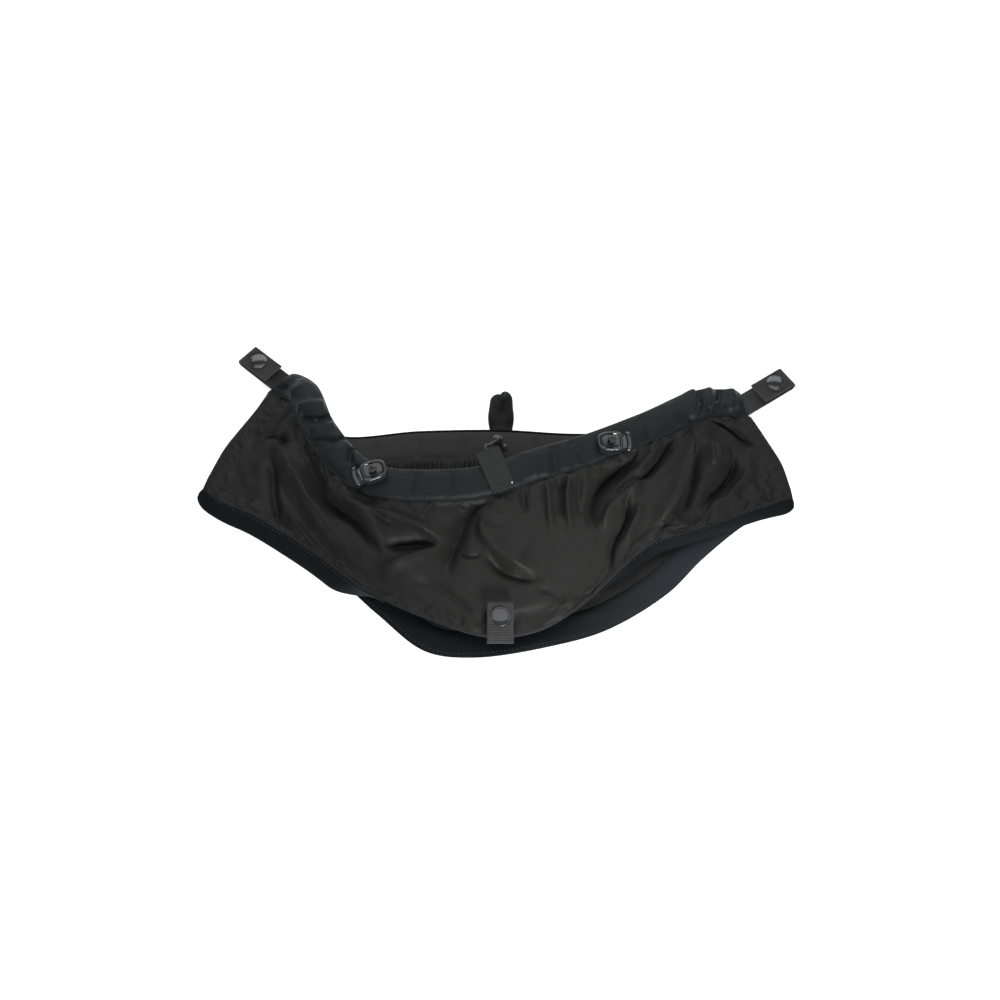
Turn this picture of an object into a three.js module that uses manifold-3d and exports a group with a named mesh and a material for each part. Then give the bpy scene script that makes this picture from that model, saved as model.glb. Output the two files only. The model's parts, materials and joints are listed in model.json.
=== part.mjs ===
// A kayak spray skirt: the fabric tunnel that closes the gap between a paddler's waist and the cockpit rim.
// It is laid on its back, as it lies on a bench. The waist opening faces +Y and the hem opening faces -Y.
// Millimetres, +Z up, the origin on the bench under the middle of the back panel.
import * as THREE from "three";
import { mergeVertices } from "three/addons/utils/BufferGeometryUtils.js";
import Module from "manifold-3d";

const wasm = await Module();
wasm.setup();

// ---- Driving dimensions -------------------------------------------------------------------------
const HALF_WIDTH = 237; // half the flat width at the hem
const DEPTH = 130; // from the origin to the waist corners, and nearly to the front of the hem
const LOFT = 36; // height of the front layer over the bench

const GAP = 0.4; // between pieces that touch
const CLOTH = 1.2; // panel fabric
const BAND_WIDTH = 27; // waistband, edge to seam
const BAND_WALL = 1.1;
const CORD_DIAMETER = 3;
const TUNNEL_ROOM = 0.8; // in the tunnel's height, over the cord's diameter
const BAND_THICKNESS = CORD_DIAMETER + TUNNEL_ROOM + 2 * BAND_WALL; // front waistband, which holds the cord
const BACK_BAND_THICKNESS = 4; // back waistband, which holds a flat elastic
const BAND_TILT = 10; // degrees that the front waistband falls towards its seam
const BACK_BAND_TILT = 8; // degrees that the back waistband falls towards its seam
const ELASTIC_ROOM = 4.5; // from the elastic's edge to the waistband's
const ELASTIC_WIDTH = BAND_WIDTH - 2 * ELASTIC_ROOM;
const ELASTIC_THICKNESS = 1;
const HEM_WIDTH = 22; // back hem, and the front hem's left side
const HEM_RIGHT_WIDTH = 18; // the front hem's right side curls in
const HEM_END_WIDTH = 13; // at the side seams
const HEM_END = 0.07; // share of the hem's length that narrows
const HEM_TWIST_WIDTH = 9; // where the front hem rolls under
const HEM_TUCK = 9; // degrees that the rolled part falls inwards
const HEM_THICKNESS = 2;

const WEBBING_WIDTH = 20;
const WEBBING = 1.4;
const TAB_REACH = { left: 42, right: 42, front: 26 }; // stitch line to fold
const TAB_HEADING = { left: 139, right: 34 }; // degrees from +X
const FLAP_LENGTH = 33; // fold to free end
const STITCH_GAP = { left: 2, right: 7 }; // from the waistbands' ends to a side tab's root
const LAYER_RISE = 5.3; // strap's lower face to flap's lower face, the closed snap's height
const SNAP_FROM_FOLD = { left: 15, right: 15, front: 13 };
const CAP_DIAMETER = 15;
const CAP_THICKNESS = 1.8;
const SNAP_BARREL = 3.6; // rivet barrel through the webbing
const SNAP_RING = 11.5; // socket, stud flange and rivet back
const STUD_HEAD = 6.4;
const SOCKET_HEIGHT = 2.3;
const RIVET_BACK = 0.7;

const LOCK_LENGTH = 20;
const LOCK_WIDTH = 17;
const LOCK_THICKNESS = 8;
const LOCK_WALL = 1.5;
const LOCK_CORD_TO_END = 9; // cord's axis to the body's open end
const PLUNGER_TRAVEL = 3.5;
const PLUNGER_HEAD = 3.5; // thickness of the thumb pad
const PLUNGER_END_WALL = 1.7; // behind the plunger's cord slot
const SPRING_WIRE = 0.5;
const SPRING_ROOM = 0.45; // around the spring in its pocket
const SPRING_COIL = LOCK_THICKNESS - 2 * LOCK_WALL - SPRING_WIRE - 2 * SPRING_ROOM; // mean diameter
const SPRING_TURNS = 4;
const LOCK_SEAT = { left: 0.4, right: 0.68 }; // share of the waistband's width
const LOCK_HEADING = { left: 198, right: 3 }; // degrees from +X to the plunger's head
const LOCK_PLACE = { left: 0.301, right: 0.703 }; // share of the front waistband's length
const CORD_ROOM = 1; // around the cord in its eyelet
const EYELET_HOLE = CORD_DIAMETER + 2 * CORD_ROOM;
const LOCK_HOLE = EYELET_HOLE + GAP;
const EYELET_WALL = 0.8;
const EYELET_FLANGE = 10;
const KNOT_DIAMETER = 6.5;
const KNOT_HEIGHT = 3.5;

const LOOP_LENGTH = 36;
const LOOP_HEIGHT = 11;
const PULL_WIDTH = 20;
const PULL_LENGTH = 36;
const PULL_THICKNESS = 2;
const PULL_HEADING = -67; // degrees from +X
const PULL_OVERHANG = 12; // past the middle of the front waistband
const PULL_CORD = 2.4;
const BALL_DIAMETER = 8.5;
const BEAD_DIAMETER = 4.5;

// ---- Materials ----------------------------------------------------------------------------------
const finish = (color, roughness, metalness = 0) =>
  new THREE.MeshStandardMaterial({ color, roughness, metalness });
const MATERIALS = {
  panel: finish(0x2c2d2c, 0.75),
  band: finish(0x24282b, 0.6),
  hem: finish(0x1b1d21, 0.65),
  webbing: finish(0x2a2a2a, 0.8),
  elastic: finish(0x3a3a3a, 0.8),
  cord: finish(0x1d1d1d, 0.7),
  plastic: finish(0x303236, 0.3),
  snap: finish(0x55585a, 0.25),
  steel: finish(0x8c8f92, 0.3, 1),
};

// ---- Small helpers ------------------------------------------------------------------------------
const V = (x, y, z) => new THREE.Vector3(x, y, z);
const UP = V(0, 0, 1);
const radians = THREE.MathUtils.degToRad;
const mix = THREE.MathUtils.lerp;
const smooth = (low, high, x) => THREE.MathUtils.smoothstep(x, low, high);
const place = (x, y, z = 0) => V(x * HALF_WIDTH, y * DEPTH, z * LOFT); // shares of the three driving sizes
const skirt = new THREE.Group();

function add(name, geometry, material, parent = skirt) {
  const mesh = new THREE.Mesh(geometry, material);
  mesh.name = name;
  parent.add(mesh);
  return mesh;
}

function toSolid(geometry) {
  const bare = (geometry.index ? geometry.toNonIndexed() : geometry.clone()).deleteAttribute("normal");
  bare.deleteAttribute("uv");
  const merged = mergeVertices(bare, 1e-4);
  return new wasm.Manifold(
    new wasm.Mesh({
      numProp: 3,
      vertProperties: new Float32Array(merged.attributes.position.array),
      triVerts: new Uint32Array(merged.index.array),
    }),
  );
}

function toGeometry(solid) {
  const mesh = solid.getMesh();
  const geometry = new THREE.BufferGeometry();
  geometry.setAttribute("position", new THREE.BufferAttribute(new Float32Array(mesh.vertProperties), 3));
  geometry.setIndex(new THREE.BufferAttribute(new Uint32Array(mesh.triVerts), 1));
  geometry.computeVertexNormals();
  return geometry;
}

const ROUND = 20; // segments in a small round piece
function turned(outline) {
  const points = outline.map(([r, z]) => new THREE.Vector2(r, z));
  return new THREE.LatheGeometry(points, ROUND).rotateX(Math.PI / 2);
}
const disc = (radius, low, high) => turned([[0, low], [radius, low], [radius, high], [0, high]]);
function slab([x0, x1], [y0, y1], [z0, z1]) {
  const block = new THREE.BoxGeometry(x1 - x0, y1 - y0, z1 - z0);
  return block.translate((x0 + x1) / 2, (y0 + y1) / 2, (z0 + z1) / 2);
}

const cut = (geometry, ...tools) =>
  toGeometry(tools.reduce((left, tool) => left.subtract(toSolid(tool)), toSolid(geometry)));

// A closed body of these triangles, turned over when its volume's sign shows that its faces point in.
function body(rings, triangles) {
  const geometry = new THREE.BufferGeometry();
  const numbers = rings.flat().flatMap((p) => p.toArray());
  geometry.setAttribute("position", new THREE.Float32BufferAttribute(numbers, 3));
  const corner = (i) => V(0, 0, 0).fromBufferAttribute(geometry.attributes.position, triangles[i]);
  let volume = 0;
  for (let i = 0; i < triangles.length; i += 3) volume += corner(i).dot(corner(i + 1).cross(corner(i + 2)));
  geometry.setIndex(volume < 0 ? triangles.reverse() : triangles);
  geometry.computeVertexNormals();
  return geometry;
}

// The sides between rings of points, where each ring joins the next.
function ringSides(rings, closedLoop) {
  const around = rings[0].length;
  const triangles = [];
  for (let i = 0; i < rings.length - (closedLoop ? 0 : 1); i++)
    for (let j = 0; j < around; j++) {
      const [ring, next] = [i * around, ((i + 1) % rings.length) * around];
      const [a, b] = [ring + j, ring + ((j + 1) % around)];
      const [c, d] = [next + j, next + ((j + 1) % around)];
      triangles.push(a, b, c, b, d, c);
    }
  return triangles;
}

const ringLoop = (rings) => body(rings, ringSides(rings, true));

// A body whose rings each hold a lower row of points and then an upper row in reverse.
function stripBody(rings) {
  const around = rings[0].length;
  const triangles = ringSides(rings, false);
  for (const [start, last] of [[0, false], [(rings.length - 1) * around, true]])
    for (let j = 0; j < around / 2 - 1; j++) {
      const [a, b] = [start + j, start + j + 1];
      const [c, d] = [start + around - 1 - j, start + around - 2 - j];
      triangles.push(...(last ? [a, b, c, b, d, c] : [a, c, b, b, c, d]));
    }
  return body(rings, triangles);
}

// A sheet of even thickness on surface(s, t), with s and t from 0 to 1.
function sheet(surface, thickness, columns, rows) {
  const step = 1e-3;
  const halfThick = (s, t) => {
    const [s0, s1] = [Math.max(s - step, 0), Math.min(s + step, 1)];
    const [t0, t1] = [Math.max(t - step, 0), Math.min(t + step, 1)];
    const along = surface(s1, t).sub(surface(s0, t));
    const across = surface(s, t1).sub(surface(s, t0));
    return along.cross(across).setLength(thickness / 2);
  };
  const rings = [];
  for (let i = 0; i <= columns; i++) {
    const row = (side) =>
      Array.from({ length: rows + 1 }, (_, j) =>
        surface(i / columns, j / rows).addScaledVector(halfThick(i / columns, j / rows), side),
      );
    rings.push([...row(-1), ...row(1).reverse()]);
  }
  return stripBody(rings);
}

// ---- Outlines -----------------------------------------------------------------------------------
const spline = (points) => new THREE.CatmullRomCurve3(points, false, "centripetal");
const CORNER_LIFT = BACK_BAND_THICKNESS + WEBBING + 2 * GAP + BAND_THICKNESS / 2;
const cornerLift = CORNER_LIFT / LOFT;

const waistFront = spline([
  place(-0.734, 1.01, cornerLift),
  place(-0.645, 0.86, 0.5),
  place(-0.562, 0.52, 0.7),
  place(-0.42, 0.215, 0.82),
  place(-0.2, 0.165, 0.87),
  place(-0.06, 0.19, 0.89),
  place(0.1, 0.3, 0.89),
  place(0.28, 0.415, 0.86),
  place(0.477, 0.585, 0.78),
  place(0.69, 0.81, 0.55),
  place(0.846, 0.865, cornerLift),
]);
const waistBack = spline([
  place(-0.746, 0.97),
  place(-0.665, 0.68),
  place(-0.56, 0.54),
  place(-0.28, 0.565),
  place(0.0, 0.57),
  place(0.27, 0.545),
  place(0.55, 0.585),
  place(0.715, 0.73),
  place(0.85, 0.825),
]);
// Where the front panel meets its hem. In the middle the hem is rolled under, so this is a folded lip.
const hemFront = spline([
  place(-0.975, 0.15, 0.34),
  place(-0.8, -0.055, 0.4),
  place(-0.6, -0.305, 0.44),
  place(-0.44, -0.565, 0.47),
  place(-0.24, -0.775, 0.46),
  place(-0.04, -0.895, 0.42),
  place(0.12, -0.86, 0.42),
  place(0.27, -0.69, 0.45),
  place(0.4, -0.45, 0.47),
  place(0.5, -0.28, 0.45),
  place(0.7, -0.125, 0.4),
  place(0.85, 0.02, 0.36),
  place(0.955, 0.115, 0.33),
]);
const hemBack = spline([
  place(-0.99, 0.1),
  place(-0.8, -0.13),
  place(-0.57, -0.41),
  place(-0.4, -0.7),
  place(-0.24, -0.94),
  place(-0.085, -0.98),
  place(0.17, -0.905),
  place(0.35, -0.8),
  place(0.55, -0.565),
  place(0.675, -0.33),
  place(0.83, -0.09),
  place(0.965, 0.05),
]);

// The frame of a strip along a curve: its point, its face, and the way across it, which falls by the tilt.
function stripFrame(curve, s, tilt, side = 1) {
  const along = curve.getTangentAt(s);
  const level = V(along.y, -along.x, 0).normalize().multiplyScalar(side);
  const across = level.multiplyScalar(Math.cos(tilt)).addScaledVector(UP, -Math.sin(tilt));
  const face = across.clone().cross(along).multiplyScalar(side).normalize();
  return { point: curve.getPointAt(s), along, across, face };
}
const bump = (s) => Math.sin(Math.PI * s) ** 2;
const frontBand = (s) => stripFrame(waistFront, s, radians(BAND_TILT) * bump(s));
const backBand = (s) => {
  const frame = stripFrame(waistBack, s, radians(BACK_BAND_TILT) * bump(s));
  frame.point.z = BACK_BAND_THICKNESS / 2 - frame.across.z * BAND_WIDTH;
  return frame;
};
const acrossBand = (frame, a, b = 0) =>
  frame.point.clone().addScaledVector(frame.across, a).addScaledVector(frame.face, b);

const STATIONS = 44; // along every band, hem and panel, so that neighbouring edges keep step

// ---- Waistbands: flat sleeves with a tunnel -------------------------------------------------------
const SLEEVE = [[0, 0], [0.1, 0.86], [0.25, 1], [0.75, 1], [0.9, 0.86], [1, 0]]; // half of the section
function sleeve(frameAt, thickness) {
  const section = (frame, inset) => {
    const width = BAND_WIDTH - 2 * inset;
    const half = thickness / 2 - inset;
    const mirrored = SLEEVE.slice(1, -1).reverse().map(([a, b]) => [a, -b]);
    return [...SLEEVE, ...mirrored].map(([a, b]) => acrossBand(frame, inset + a * width, b * half));
  };
  const outer = [];
  const inner = [];
  for (let i = 0; i <= STATIONS; i++) {
    const frame = frameAt(i / STATIONS);
    outer.push(section(frame, 0));
    inner.push(section(frame, BAND_WALL));
  }
  // Outward along the outside and back along the tunnel, as one closed loop of rings.
  return ringLoop([...outer, ...inner.reverse()]);
}

// A hole or a round piece that stands on the front waistband's upper face.
function onFrontBand(s, seat, heading) {
  const frame = frontBand(s);
  const group = new THREE.Group();
  const forward = V(Math.cos(radians(heading)), Math.sin(radians(heading)), 0);
  forward.addScaledVector(frame.face, -forward.dot(frame.face)).normalize();
  group.matrixAutoUpdate = true;
  const axes = new THREE.Matrix4().makeBasis(forward, frame.face.clone().cross(forward), frame.face);
  group.quaternion.setFromRotationMatrix(axes);
  group.position.copy(acrossBand(frame, seat * BAND_WIDTH, BAND_THICKNESS / 2));
  skirt.add(group);
  group.updateMatrixWorld(true);
  return group;
}

const lockGroups = {
  left: onFrontBand(LOCK_PLACE.left, LOCK_SEAT.left, LOCK_HEADING.left),
  right: onFrontBand(LOCK_PLACE.right, LOCK_SEAT.right, LOCK_HEADING.right),
};
const eyeletHoles = Object.values(lockGroups).map((group) =>
  disc(EYELET_HOLE / 2 + EYELET_WALL + GAP, -2 * BAND_WALL, 2 * BAND_WALL).applyMatrix4(group.matrixWorld),
);
add("waistband_front", cut(sleeve(frontBand, BAND_THICKNESS), ...eyeletHoles), MATERIALS.band);
add("waistband_back", sleeve(backBand, BACK_BAND_THICKNESS), MATERIALS.band);
add(
  "waist_elastic",
  sheet(
    (s, t) => acrossBand(backBand(mix(0.01, 0.99, s)), BAND_WIDTH / 2 + (t - 0.5) * ELASTIC_WIDTH),
    ELASTIC_THICKNESS,
    STATIONS,
    1,
  ),
  MATERIALS.elastic,
);

// ---- Hem strips -----------------------------------------------------------------------------------
// The front hem leans out at both sides and is rolled under in the middle.
const ROLL = { start: 0.2, under: 0.33, outAgain: 0.6, end: 0.74 }; // shares of the hem's length
const rolled = (s) => smooth(ROLL.start, ROLL.under, s) - smooth(ROLL.outAgain, ROLL.end, s);
function frontHem(s) {
  const turn = rolled(s);
  const ends = smooth(0, HEM_END, s) * (1 - smooth(1 - HEM_END, 1, s));
  const full = mix(HEM_END_WIDTH, mix(HEM_WIDTH, HEM_RIGHT_WIDTH, smooth(0.4, 0.7, s)), ends);
  const width = mix(full, HEM_TWIST_WIDTH, 4 * turn * (1 - turn));
  const lift = hemFront.getPointAt(s).z - (BACK_BAND_THICKNESS + HEM_THICKNESS / 2);
  const drop = Math.asin(Math.min(lift / width, 1));
  return { ...stripFrame(hemFront, s, mix(drop, Math.PI - radians(HEM_TUCK), turn)), width };
}
add(
  "front_hem",
  sheet(
    (s, t) => {
      const frame = frontHem(s);
      const start = GAP + (CLOTH + HEM_THICKNESS) / 2;
      return acrossBand(frame, mix(start, frame.width, t)).addScaledVector(UP, -start * rolled(s));
    },
    HEM_THICKNESS,
    STATIONS,
    2,
  ),
  MATERIALS.hem,
);
const backHem = (s) => stripFrame(hemBack, s, 0, -1);
const onBench = (point, thickness) => V(point.x, point.y, thickness / 2);
add(
  "back_hem",
  sheet(
    (s, t) => onBench(acrossBand(backHem(s), (1 - t) * HEM_WIDTH), HEM_THICKNESS),
    HEM_THICKNESS,
    STATIONS,
    1,
  ),
  MATERIALS.hem,
);

// ---- Panels ---------------------------------------------------------------------------------------
const SIDE_INSET = GAP + CLOTH;
const CREST = 0.16; // share of the loft that the front panel rises over a straight line
function frontPanel(s, t) {
  const top = frontBand(s);
  const from = acrossBand(top, BAND_WIDTH + GAP);
  const to = hemFront.getPointAt(s);
  const fall = V(to.x - from.x, to.y - from.y, 0).length();
  const middle = smooth(0, 0.3, s) - smooth(0.7, 1, s);
  const rise = LOFT * mix(0.05, CREST, middle);
  const point = from.lerp(to, t);
  point.z += rise * Math.sin(Math.PI * t ** 0.8) + middle * (fall / DEPTH) * 4 * t * (1 - t) * t;
  return point;
}
function backPanel(s, t) {
  const from = acrossBand(backBand(s), BAND_WIDTH + GAP);
  const to = acrossBand(backHem(s), HEM_WIDTH + GAP);
  return onBench(from.lerp(to, t), CLOTH);
}
add("front_panel", sheet(frontPanel, CLOTH, STATIONS, 9), MATERIALS.panel);
add("back_panel", sheet(backPanel, CLOTH, STATIONS, 4), MATERIALS.panel);

for (const [side, s, out] of [["left", 0, -1], ["right", 1, 1]])
  add(
    side + "_side_tape",
    sheet(
      (u, t) => {
        // It stands upright beside the back panel and leans towards the front panel as it rises.
        const [low, high] = [backPanel, frontPanel].map((panel) => panel(s, mix(0.02, 0.98, u)));
        const edge = backPanel(s, 1).sub(backPanel(s, 0)).normalize();
        const level = mix(low.z, high.z, t);
        return low.lerp(high, t * t).addScaledVector(V(-edge.y, edge.x, 0), out * SIDE_INSET).setZ(level);
      },
      CLOTH,
      10,
      3,
    ),
    MATERIALS.hem,
  );

// ---- Snap tabs: a strap that folds over its own snap ----------------------------------------------
// In a tab's own frame the stitch line is the Y axis, +X runs out to the fold and +Z is the flap's side.
function frameAt(origin, forward, up) {
  const group = new THREE.Group();
  const face = up.clone().addScaledVector(forward, -up.dot(forward)).normalize();
  const axes = new THREE.Matrix4().makeBasis(forward, face.clone().cross(forward), face);
  group.quaternion.setFromRotationMatrix(axes);
  group.position.copy(origin);
  skirt.add(group);
  return group;
}

function snapTab(side, group) {
  const reach = TAB_REACH[side];
  const snapAt = reach - SNAP_FROM_FOLD[side];
  const foldRadius = (LAYER_RISE + WEBBING) / 2;
  const foldCentre = reach - foldRadius;
  const profile = new THREE.Shape();
  profile.moveTo(0, 0);
  profile.lineTo(foldCentre, 0);
  profile.absarc(foldCentre, foldRadius, foldRadius, -Math.PI / 2, Math.PI / 2, false);
  profile.lineTo(foldCentre, LAYER_RISE);
  profile.absarc(foldCentre, foldRadius, foldRadius - WEBBING, Math.PI / 2, -Math.PI / 2, true);
  profile.lineTo(0, WEBBING);
  const across = { depth: WEBBING_WIDTH, bevelEnabled: false, curveSegments: 6 };
  const strap = new THREE.ExtrudeGeometry(profile, across)
    .rotateX(Math.PI / 2)
    .translate(0, WEBBING_WIDTH / 2, 0);
  const flapTop = LAYER_RISE + WEBBING;
  const flap = slab(
    [reach - FLAP_LENGTH, foldCentre - GAP],
    [-WEBBING_WIDTH / 2, WEBBING_WIDTH / 2],
    [LAYER_RISE, flapTop],
  );
  const barrel = SNAP_BARREL / 2;
  const hole = disc(barrel + GAP, -flapTop, 2 * flapTop).translate(snapAt, 0, 0);
  add(side + "_tab_strap", cut(strap, hole), MATERIALS.webbing, group);
  add(side + "_tab_flap", cut(flap, hole), MATERIALS.webbing, group);

  const rim = SNAP_RING / 2;
  const socketTop = LAYER_RISE - GAP;
  const socketPlate = socketTop - RIVET_BACK;
  const capBase = flapTop + GAP;
  const studBase = WEBBING + GAP;
  const studTop = socketPlate - 2 * GAP;
  const pieces = {
    snap_cap: turned([
      [0, socketPlate + GAP / 2],
      [barrel, socketPlate + GAP / 2],
      [barrel, capBase],
      [CAP_DIAMETER / 2 - 0.3, capBase],
      [CAP_DIAMETER / 2, capBase + CAP_THICKNESS / 3],
      [CAP_DIAMETER / 2 - 1.2, capBase + CAP_THICKNESS * 0.8],
      [CAP_DIAMETER / 4, capBase + CAP_THICKNESS],
      [0, capBase + CAP_THICKNESS],
    ]),
    snap_socket: turned([
      [barrel + GAP, socketPlate],
      [STUD_HEAD / 2 + GAP, socketPlate],
      [STUD_HEAD / 2 + GAP, socketTop - SOCKET_HEIGHT],
      [rim - 1, socketTop - SOCKET_HEIGHT],
      [rim, socketTop - SOCKET_HEIGHT / 2],
      [rim, socketTop],
      [barrel + GAP, socketTop],
      [barrel + GAP, socketPlate],
    ]),
    snap_stud: turned([
      [barrel + GAP, studBase],
      [rim, studBase],
      [rim, studBase + RIVET_BACK / 2],
      [STUD_HEAD / 2, studBase + RIVET_BACK],
      [STUD_HEAD / 2, studTop - 0.5],
      [STUD_HEAD / 2 - 0.5, studTop],
      [barrel + GAP, studTop],
      [barrel + GAP, studBase],
    ]),
    snap_rivet: turned([
      [0, -GAP - RIVET_BACK],
      [rim, -GAP - RIVET_BACK],
      [rim, -GAP],
      [barrel, -GAP],
      [barrel, studTop - 0.3],
      [0, studTop - 0.3],
    ]),
  };
  for (const [name, geometry] of Object.entries(pieces))
    add(side + "_" + name, geometry, MATERIALS.snap, group).position.x = snapAt;
}

const strapLevel = BACK_BAND_THICKNESS + GAP;
for (const [side, end] of [["left", 0], ["right", 1]]) {
  const heading = radians(TAB_HEADING[side]);
  const forward = V(Math.cos(heading), Math.sin(heading), 0);
  const root = acrossBand(frontBand(end), BAND_WIDTH / 2).setZ(strapLevel);
  snapTab(side, frameAt(root.addScaledVector(forward, STITCH_GAP[side]), forward, UP));
}
const FRONT_TAB_PLACE = 0.505; // share of the hem's length
const FRONT_TAB_LIFT = 1; // over the panel's bulge
const lip = frontPanel(FRONT_TAB_PLACE, 1);
const upPanel = frontPanel(FRONT_TAB_PLACE, 0.6).sub(lip).normalize();
const tabSeat = lip.clone().addScaledVector(UP, CLOTH / 2 + RIVET_BACK + 2 * GAP + FRONT_TAB_LIFT);
snapTab("front", frameAt(tabSeat, V(0, upPanel.y, upPanel.z).normalize(), UP));

// ---- Cord locks -------------------------------------------------------------------------------------
function eyelet(side, group) {
  const hole = EYELET_HOLE / 2;
  const flange = turned([
    [hole, -BAND_WALL],
    [hole + EYELET_WALL, -BAND_WALL],
    [hole + EYELET_WALL, GAP],
    [EYELET_FLANGE / 2, GAP],
    [EYELET_FLANGE / 2, GAP + EYELET_WALL],
    [hole, GAP + EYELET_WALL],
    [hole, -BAND_WALL],
  ]);
  add(side + "_eyelet", flange, MATERIALS.steel, group);
}

const LOCK_BASE = 2 * GAP + EYELET_WALL; // lock's underside over the waistband
function cordLock(side, group) {
  const [low, high] = [LOCK_BASE, LOCK_BASE + LOCK_THICKNESS];
  const middle = (low + high) / 2;
  const back = LOCK_CORD_TO_END - LOCK_LENGTH;
  const outline = new THREE.Shape();
  const half = LOCK_WIDTH / 2;
  outline.moveTo(LOCK_CORD_TO_END, -half);
  outline.lineTo(LOCK_CORD_TO_END, half);
  outline.lineTo(back + half * 0.6, half);
  outline.quadraticCurveTo(back, half * 0.8, back, 0);
  outline.quadraticCurveTo(back, -half * 0.8, back + half * 0.6, -half);
  const upwards = { depth: LOCK_THICKNESS, bevelEnabled: false, curveSegments: 5 };
  const block = new THREE.ExtrudeGeometry(outline, upwards).translate(0, 0, low);
  const room = half - LOCK_WALL; // half width of the plunger's bore
  const depth = [low + LOCK_WALL, high - LOCK_WALL];
  const cordRoom = CORD_DIAMETER / 2 + GAP;
  const slotEnds = [-cordRoom, cordRoom + PLUNGER_TRAVEL];
  const tongueEnd = slotEnds[0] - PLUNGER_END_WALL;
  const boreEnd = tongueEnd - PLUNGER_TRAVEL - GAP;
  const springSeat = back + LOCK_WALL;
  const bore = slab([boreEnd, LOCK_CORD_TO_END + GAP], [-room, room], depth);
  const springRoom = slab([springSeat, boreEnd + GAP], [-SPRING_COIL, SPRING_COIL], depth);
  const hole = disc(LOCK_HOLE / 2, low - GAP, high + GAP);
  add(side + "_lock_body", cut(block, bore, springRoom, hole), MATERIALS.plastic, group);

  const headBase = LOCK_CORD_TO_END + GAP + PLUNGER_TRAVEL;
  const tongue = [depth[0] + GAP, depth[1] - GAP];
  const plunger = toSolid(slab([tongueEnd, headBase + GAP], [GAP - room, room - GAP], tongue))
    .add(toSolid(slab([headBase, headBase + PLUNGER_HEAD], [-half, half], [low, high])))
    .subtract(toSolid(slab(slotEnds, [-cordRoom, cordRoom], [low, high])));
  add(side + "_lock_plunger", toGeometry(plunger), MATERIALS.plastic, group);

  const [springStart, springEnd] = [springSeat + GAP + SPRING_WIRE / 2, tongueEnd - GAP - SPRING_WIRE / 2];
  class Coil extends THREE.Curve {
    getPoint(u) {
      const turn = 2 * Math.PI * SPRING_TURNS * u;
      const arm = SPRING_COIL / 2;
      return V(mix(springStart, springEnd, u), arm * Math.cos(turn), middle + arm * Math.sin(turn));
    }
  }
  const wire = new THREE.Shape().absarc(0, 0, SPRING_WIRE / 2, 0, 2 * Math.PI);
  const coil = { extrudePath: new Coil(), steps: SPRING_TURNS * 10, curveSegments: 3, bevelEnabled: false };
  add(side + "_lock_spring", new THREE.ExtrudeGeometry(wire, coil), MATERIALS.steel, group);

  const knot = new THREE.SphereGeometry(1, 12, 8).rotateX(Math.PI / 2);
  knot.scale(KNOT_DIAMETER / 2, KNOT_DIAMETER / 2, KNOT_HEIGHT / 2);
  add(side + "_cord_knot", knot.translate(0, 0, high + GAP + KNOT_HEIGHT / 2), MATERIALS.cord, group);
}

const BEND = CORD_DIAMETER; // radius of the cord's turn up to the eyelet
function drawcord(side, corner) {
  const lockPlace = LOCK_PLACE[side];
  const frame = frontBand(lockPlace);
  const inward = frame.along.clone().multiplyScalar(corner === 0 ? 1 : -1);
  const start = mix(corner, lockPlace, 0.04);
  const stations = 9;
  const points = [];
  const seat = LOCK_SEAT[side];
  const exit = acrossBand(frame, seat * BAND_WIDTH);
  const turnStart = exit.clone().addScaledVector(inward, -BEND);
  for (let i = 0; i < stations; i++) {
    const share = (0.94 * i) / (stations - 1);
    points.push(acrossBand(frontBand(mix(start, lockPlace, share)), mix(0.5, seat, share ** 2) * BAND_WIDTH));
  }
  points.push(turnStart);
  for (const turn of [Math.PI / 6, Math.PI / 3])
    points.push(
      turnStart.clone()
        .addScaledVector(inward, BEND * Math.sin(turn))
        .addScaledVector(frame.face, BEND * (1 - Math.cos(turn))),
    );
  for (const height of [BEND, BAND_THICKNESS / 2 + LOCK_BASE + LOCK_THICKNESS / 2])
    points.push(exit.clone().addScaledVector(frame.face, height));
  points.push(exit.clone().addScaledVector(frame.face, BAND_THICKNESS / 2 + LOCK_BASE + LOCK_THICKNESS));
  const section = new THREE.Shape().absarc(0, 0, CORD_DIAMETER / 2, 0, 2 * Math.PI);
  const path = { extrudePath: spline(points), steps: 64, curveSegments: 4, bevelEnabled: false };
  add(side + "_drawcord", new THREE.ExtrudeGeometry(section, path), MATERIALS.cord);
}

for (const [side, corner] of [["left", 0], ["right", 1]]) {
  eyelet(side, lockGroups[side]);
  cordLock(side, lockGroups[side]);
  drawcord(side, corner);
}

// ---- Back centre: grab loop and waist pull ----------------------------------------------------------
// A ribbon that leaves the back waistband along the bench, turns over at its end and comes back to it.
const loopRoot = acrossBand(backBand(0.5), -2 * GAP);
const loopFrame = frameAt(V(0, loopRoot.y, GAP), V(0, 1, 0), UP);
const loopRise = LOOP_HEIGHT - WEBBING;
const loopCentre = LOOP_LENGTH - LOOP_HEIGHT / 2;
const ribbon = spline(
  [
    [0, 0],
    [0.55 * loopCentre, 0],
    [loopCentre, 0],
    [loopCentre + 0.36 * LOOP_HEIGHT, 0.16 * loopRise],
    [LOOP_LENGTH - WEBBING, 0.5 * loopRise],
    [loopCentre + 0.36 * LOOP_HEIGHT, 0.86 * loopRise],
    [loopCentre, loopRise],
    [0.5 * loopCentre, 0.72 * loopRise],
    [0, WEBBING + GAP],
  ].map(([x, z]) => V(x, 0, z + WEBBING / 2)),
);
add(
  "rear_grab_loop",
  sheet((s, t) => ribbon.getPointAt(s).setY((t - 0.5) * WEBBING_WIDTH), WEBBING, 26, 1),
  MATERIALS.webbing,
  loopFrame,
);

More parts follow.
